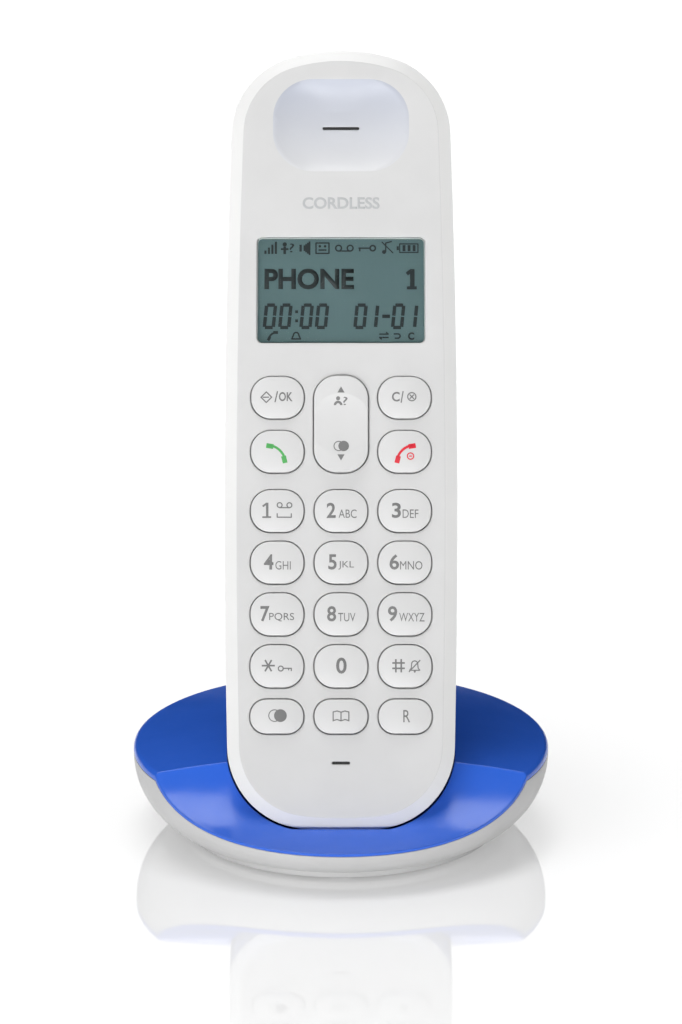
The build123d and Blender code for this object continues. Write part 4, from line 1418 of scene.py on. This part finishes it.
MIDDLE_OF_SET = (0.0, 0.0, 0.07)
FRONT_OF_BASE = (0.0, -0.03, 0.02)
SOFTBOXES = (
    Softbox("key_light", (-0.6, -0.55, 0.6), MIDDLE_OF_SET, (0.4, 0.6), 0.9),
    Softbox("fill_light", (0.8, -0.6, 0.4), MIDDLE_OF_SET, (0.3, 0.6), 0.05),
    Softbox("low_light", (-0.15, -0.9, 0.09), FRONT_OF_BASE, (0.9, 0.14), 5.5),
    Softbox("top_light", (-0.1, 0.15, 1.1), MIDDLE_OF_SET, (0.8, 0.5), 7.4),
)


@dataclass
class Studio:
    """Floor, wall, lights and camera."""

    floor_size: float = 12.0
    floor_drop: float = 0.00005
    floor_grey: float = 0.6
    floor_ior: float = 2.0
    floor_gloss: tuple[float, float] = (0.03, 0.06)
    floor_glow: float = 0.18
    front_glow: float = 0.9
    glow_from: float = -0.07
    glow_to: float = -0.28
    wall_radius: float = 3.0
    wall_height: float = 2.5
    wall_glow: float = 1.3
    camera_place: tuple[float, float, float] = (0.0, -0.632, 0.245)
    camera_pitch: float = 15.6
    lens: float = 110.7
    air: float = 0.14

    def floor(self) -> bpy.types.Object:
        """Lay a pale floor with a polished top, which glows a little and more so in front.

        Returns:
            The floor.
        """
        deselect()
        bpy.ops.mesh.primitive_plane_add(size=self.floor_size, location=(0, 0, -self.floor_drop))
        plane = bpy.context.object
        plane.name = "studio_floor"
        material = bpy.data.materials.new("polished_floor")
        material.use_nodes = True
        graph = Graph(material.node_tree)
        shader = material.node_tree.nodes["Principled BSDF"]
        shader.inputs["Base Color"].default_value = (self.floor_grey, self.floor_grey, self.floor_grey, 1)
        shader.inputs["IOR"].default_value = self.floor_ior
        shader.inputs["Emission Color"].default_value = (1, 1, 1, 1)
        place = graph.add("ShaderNodeTexCoord")
        parts = graph.add("ShaderNodeSeparateXYZ")
        graph.link(place.outputs["Object"], parts.inputs["Vector"])
        lift = graph.add("ShaderNodeMapRange", interpolation_type="SMOOTHERSTEP")
        lift.inputs["From Min"].default_value = self.glow_from
        lift.inputs["From Max"].default_value = self.glow_to
        lift.inputs["To Min"].default_value = self.floor_glow
        lift.inputs["To Max"].default_value = self.floor_glow + self.front_glow
        graph.link(parts.outputs["Y"], lift.inputs["Value"])
        graph.link(lift.outputs["Result"], shader.inputs["Emission Strength"])
        cloud = graph.add("ShaderNodeTexNoise", Scale=6.0)
        graph.link(place.outputs["Object"], cloud.inputs["Vector"])
        gloss = graph.add("ShaderNodeMapRange", To_Min=self.floor_gloss[0], To_Max=self.floor_gloss[1])
        graph.link(cloud.outputs["Fac"], gloss.inputs["Value"])
        graph.link(gloss.outputs["Result"], shader.inputs["Roughness"])
        plane.data.materials.append(material)
        return plane

    def wall(self, floor: bpy.types.Object) -> None:
        """Stand a glowing white wall far out all round, which only the floor mirrors.

        Args:
            floor: The floor.
        """
        deselect()
        bpy.ops.mesh.primitive_cylinder_add(
            vertices=96,
            radius=self.wall_radius,
            depth=self.wall_height,
            end_fill_type="NOTHING",
            location=(0, 0, self.wall_height / 2),
        )
        wall = bpy.context.object
        wall.name = "studio_wall"
        bpy.ops.object.transform_apply(location=True, rotation=True, scale=True)
        material = bpy.data.materials.new("lit_wall")
        material.use_nodes = True
        shader = material.node_tree.nodes["Principled BSDF"]
        shader.inputs["Base Color"].default_value = (0, 0, 0, 1)
        shader.inputs["Specular IOR Level"].default_value = 0.0
        shader.inputs["Emission Color"].default_value = (1, 1, 1, 1)
        shader.inputs["Emission Strength"].default_value = self.wall_glow
        wall.data.materials.append(material)
        lit = bpy.data.collections.new("lit_by_wall")
        lit.objects.link(floor)
        wall.light_linking.receiver_collection = lit

    def surroundings(self) -> None:
        """Fill the air with a faint even light, and show it white where nothing stands."""
        world = bpy.data.worlds.new("studio_air")
        world.use_nodes = True
        background = world.node_tree.nodes["Background"]
        background.inputs["Color"].default_value = (1, 1, 1, 1)
        graph = Graph(world.node_tree)
        path = graph.add("ShaderNodeLightPath")
        seen = graph.add("ShaderNodeMapRange", To_Min=self.air, To_Max=1.0)
        graph.link(path.outputs["Is Camera Ray"], seen.inputs["Value"])
        graph.link(seen.outputs["Result"], background.inputs["Strength"])
        bpy.context.scene.world = world

    def camera(self) -> None:
        """Set the camera in front, looking a little down."""
        data = bpy.data.cameras.new("front_camera")
        data.lens = self.lens
        data.sensor_width = 36.0
        data.clip_end = 50.0
        eye = bpy.data.objects.new("front_camera", data)
        bpy.context.scene.collection.objects.link(eye)
        eye.location = self.camera_place
        eye.rotation_euler = (math.radians(90.0 - self.camera_pitch), 0, 0)
        bpy.context.scene.camera = eye

    def build(self) -> None:
        """Set up the whole studio."""
        self.wall(self.floor())
        for softbox in SOFTBOXES:
            softbox.hang()
        self.surroundings()
        self.camera()
        bpy.context.scene.view_settings.view_transform = "Standard"
        LOG.info("studio ready")


def main() -> None:
    """Build every part of the picture in order."""
    logging.basicConfig(level=logging.INFO, format="%(name)s: %(message)s")
    deselect()
    dress_frame()
    casing = SmoothCopy("front_shell").build()
    DishPaintedShade().paint(casing)
    RimHighlight().paint(casing)
    for node in ("rear_shell", "battery_cover", "base_bottom", "base_cover"):
        SmoothCopy(node).build()
    Keypad().build()
    Display().build()
    NamePlate().build()
    for shade_sheet in SHADE_SHEETS:
        shade_sheet.build()
    Studio().build()


if __name__ == "__main__":
    main()
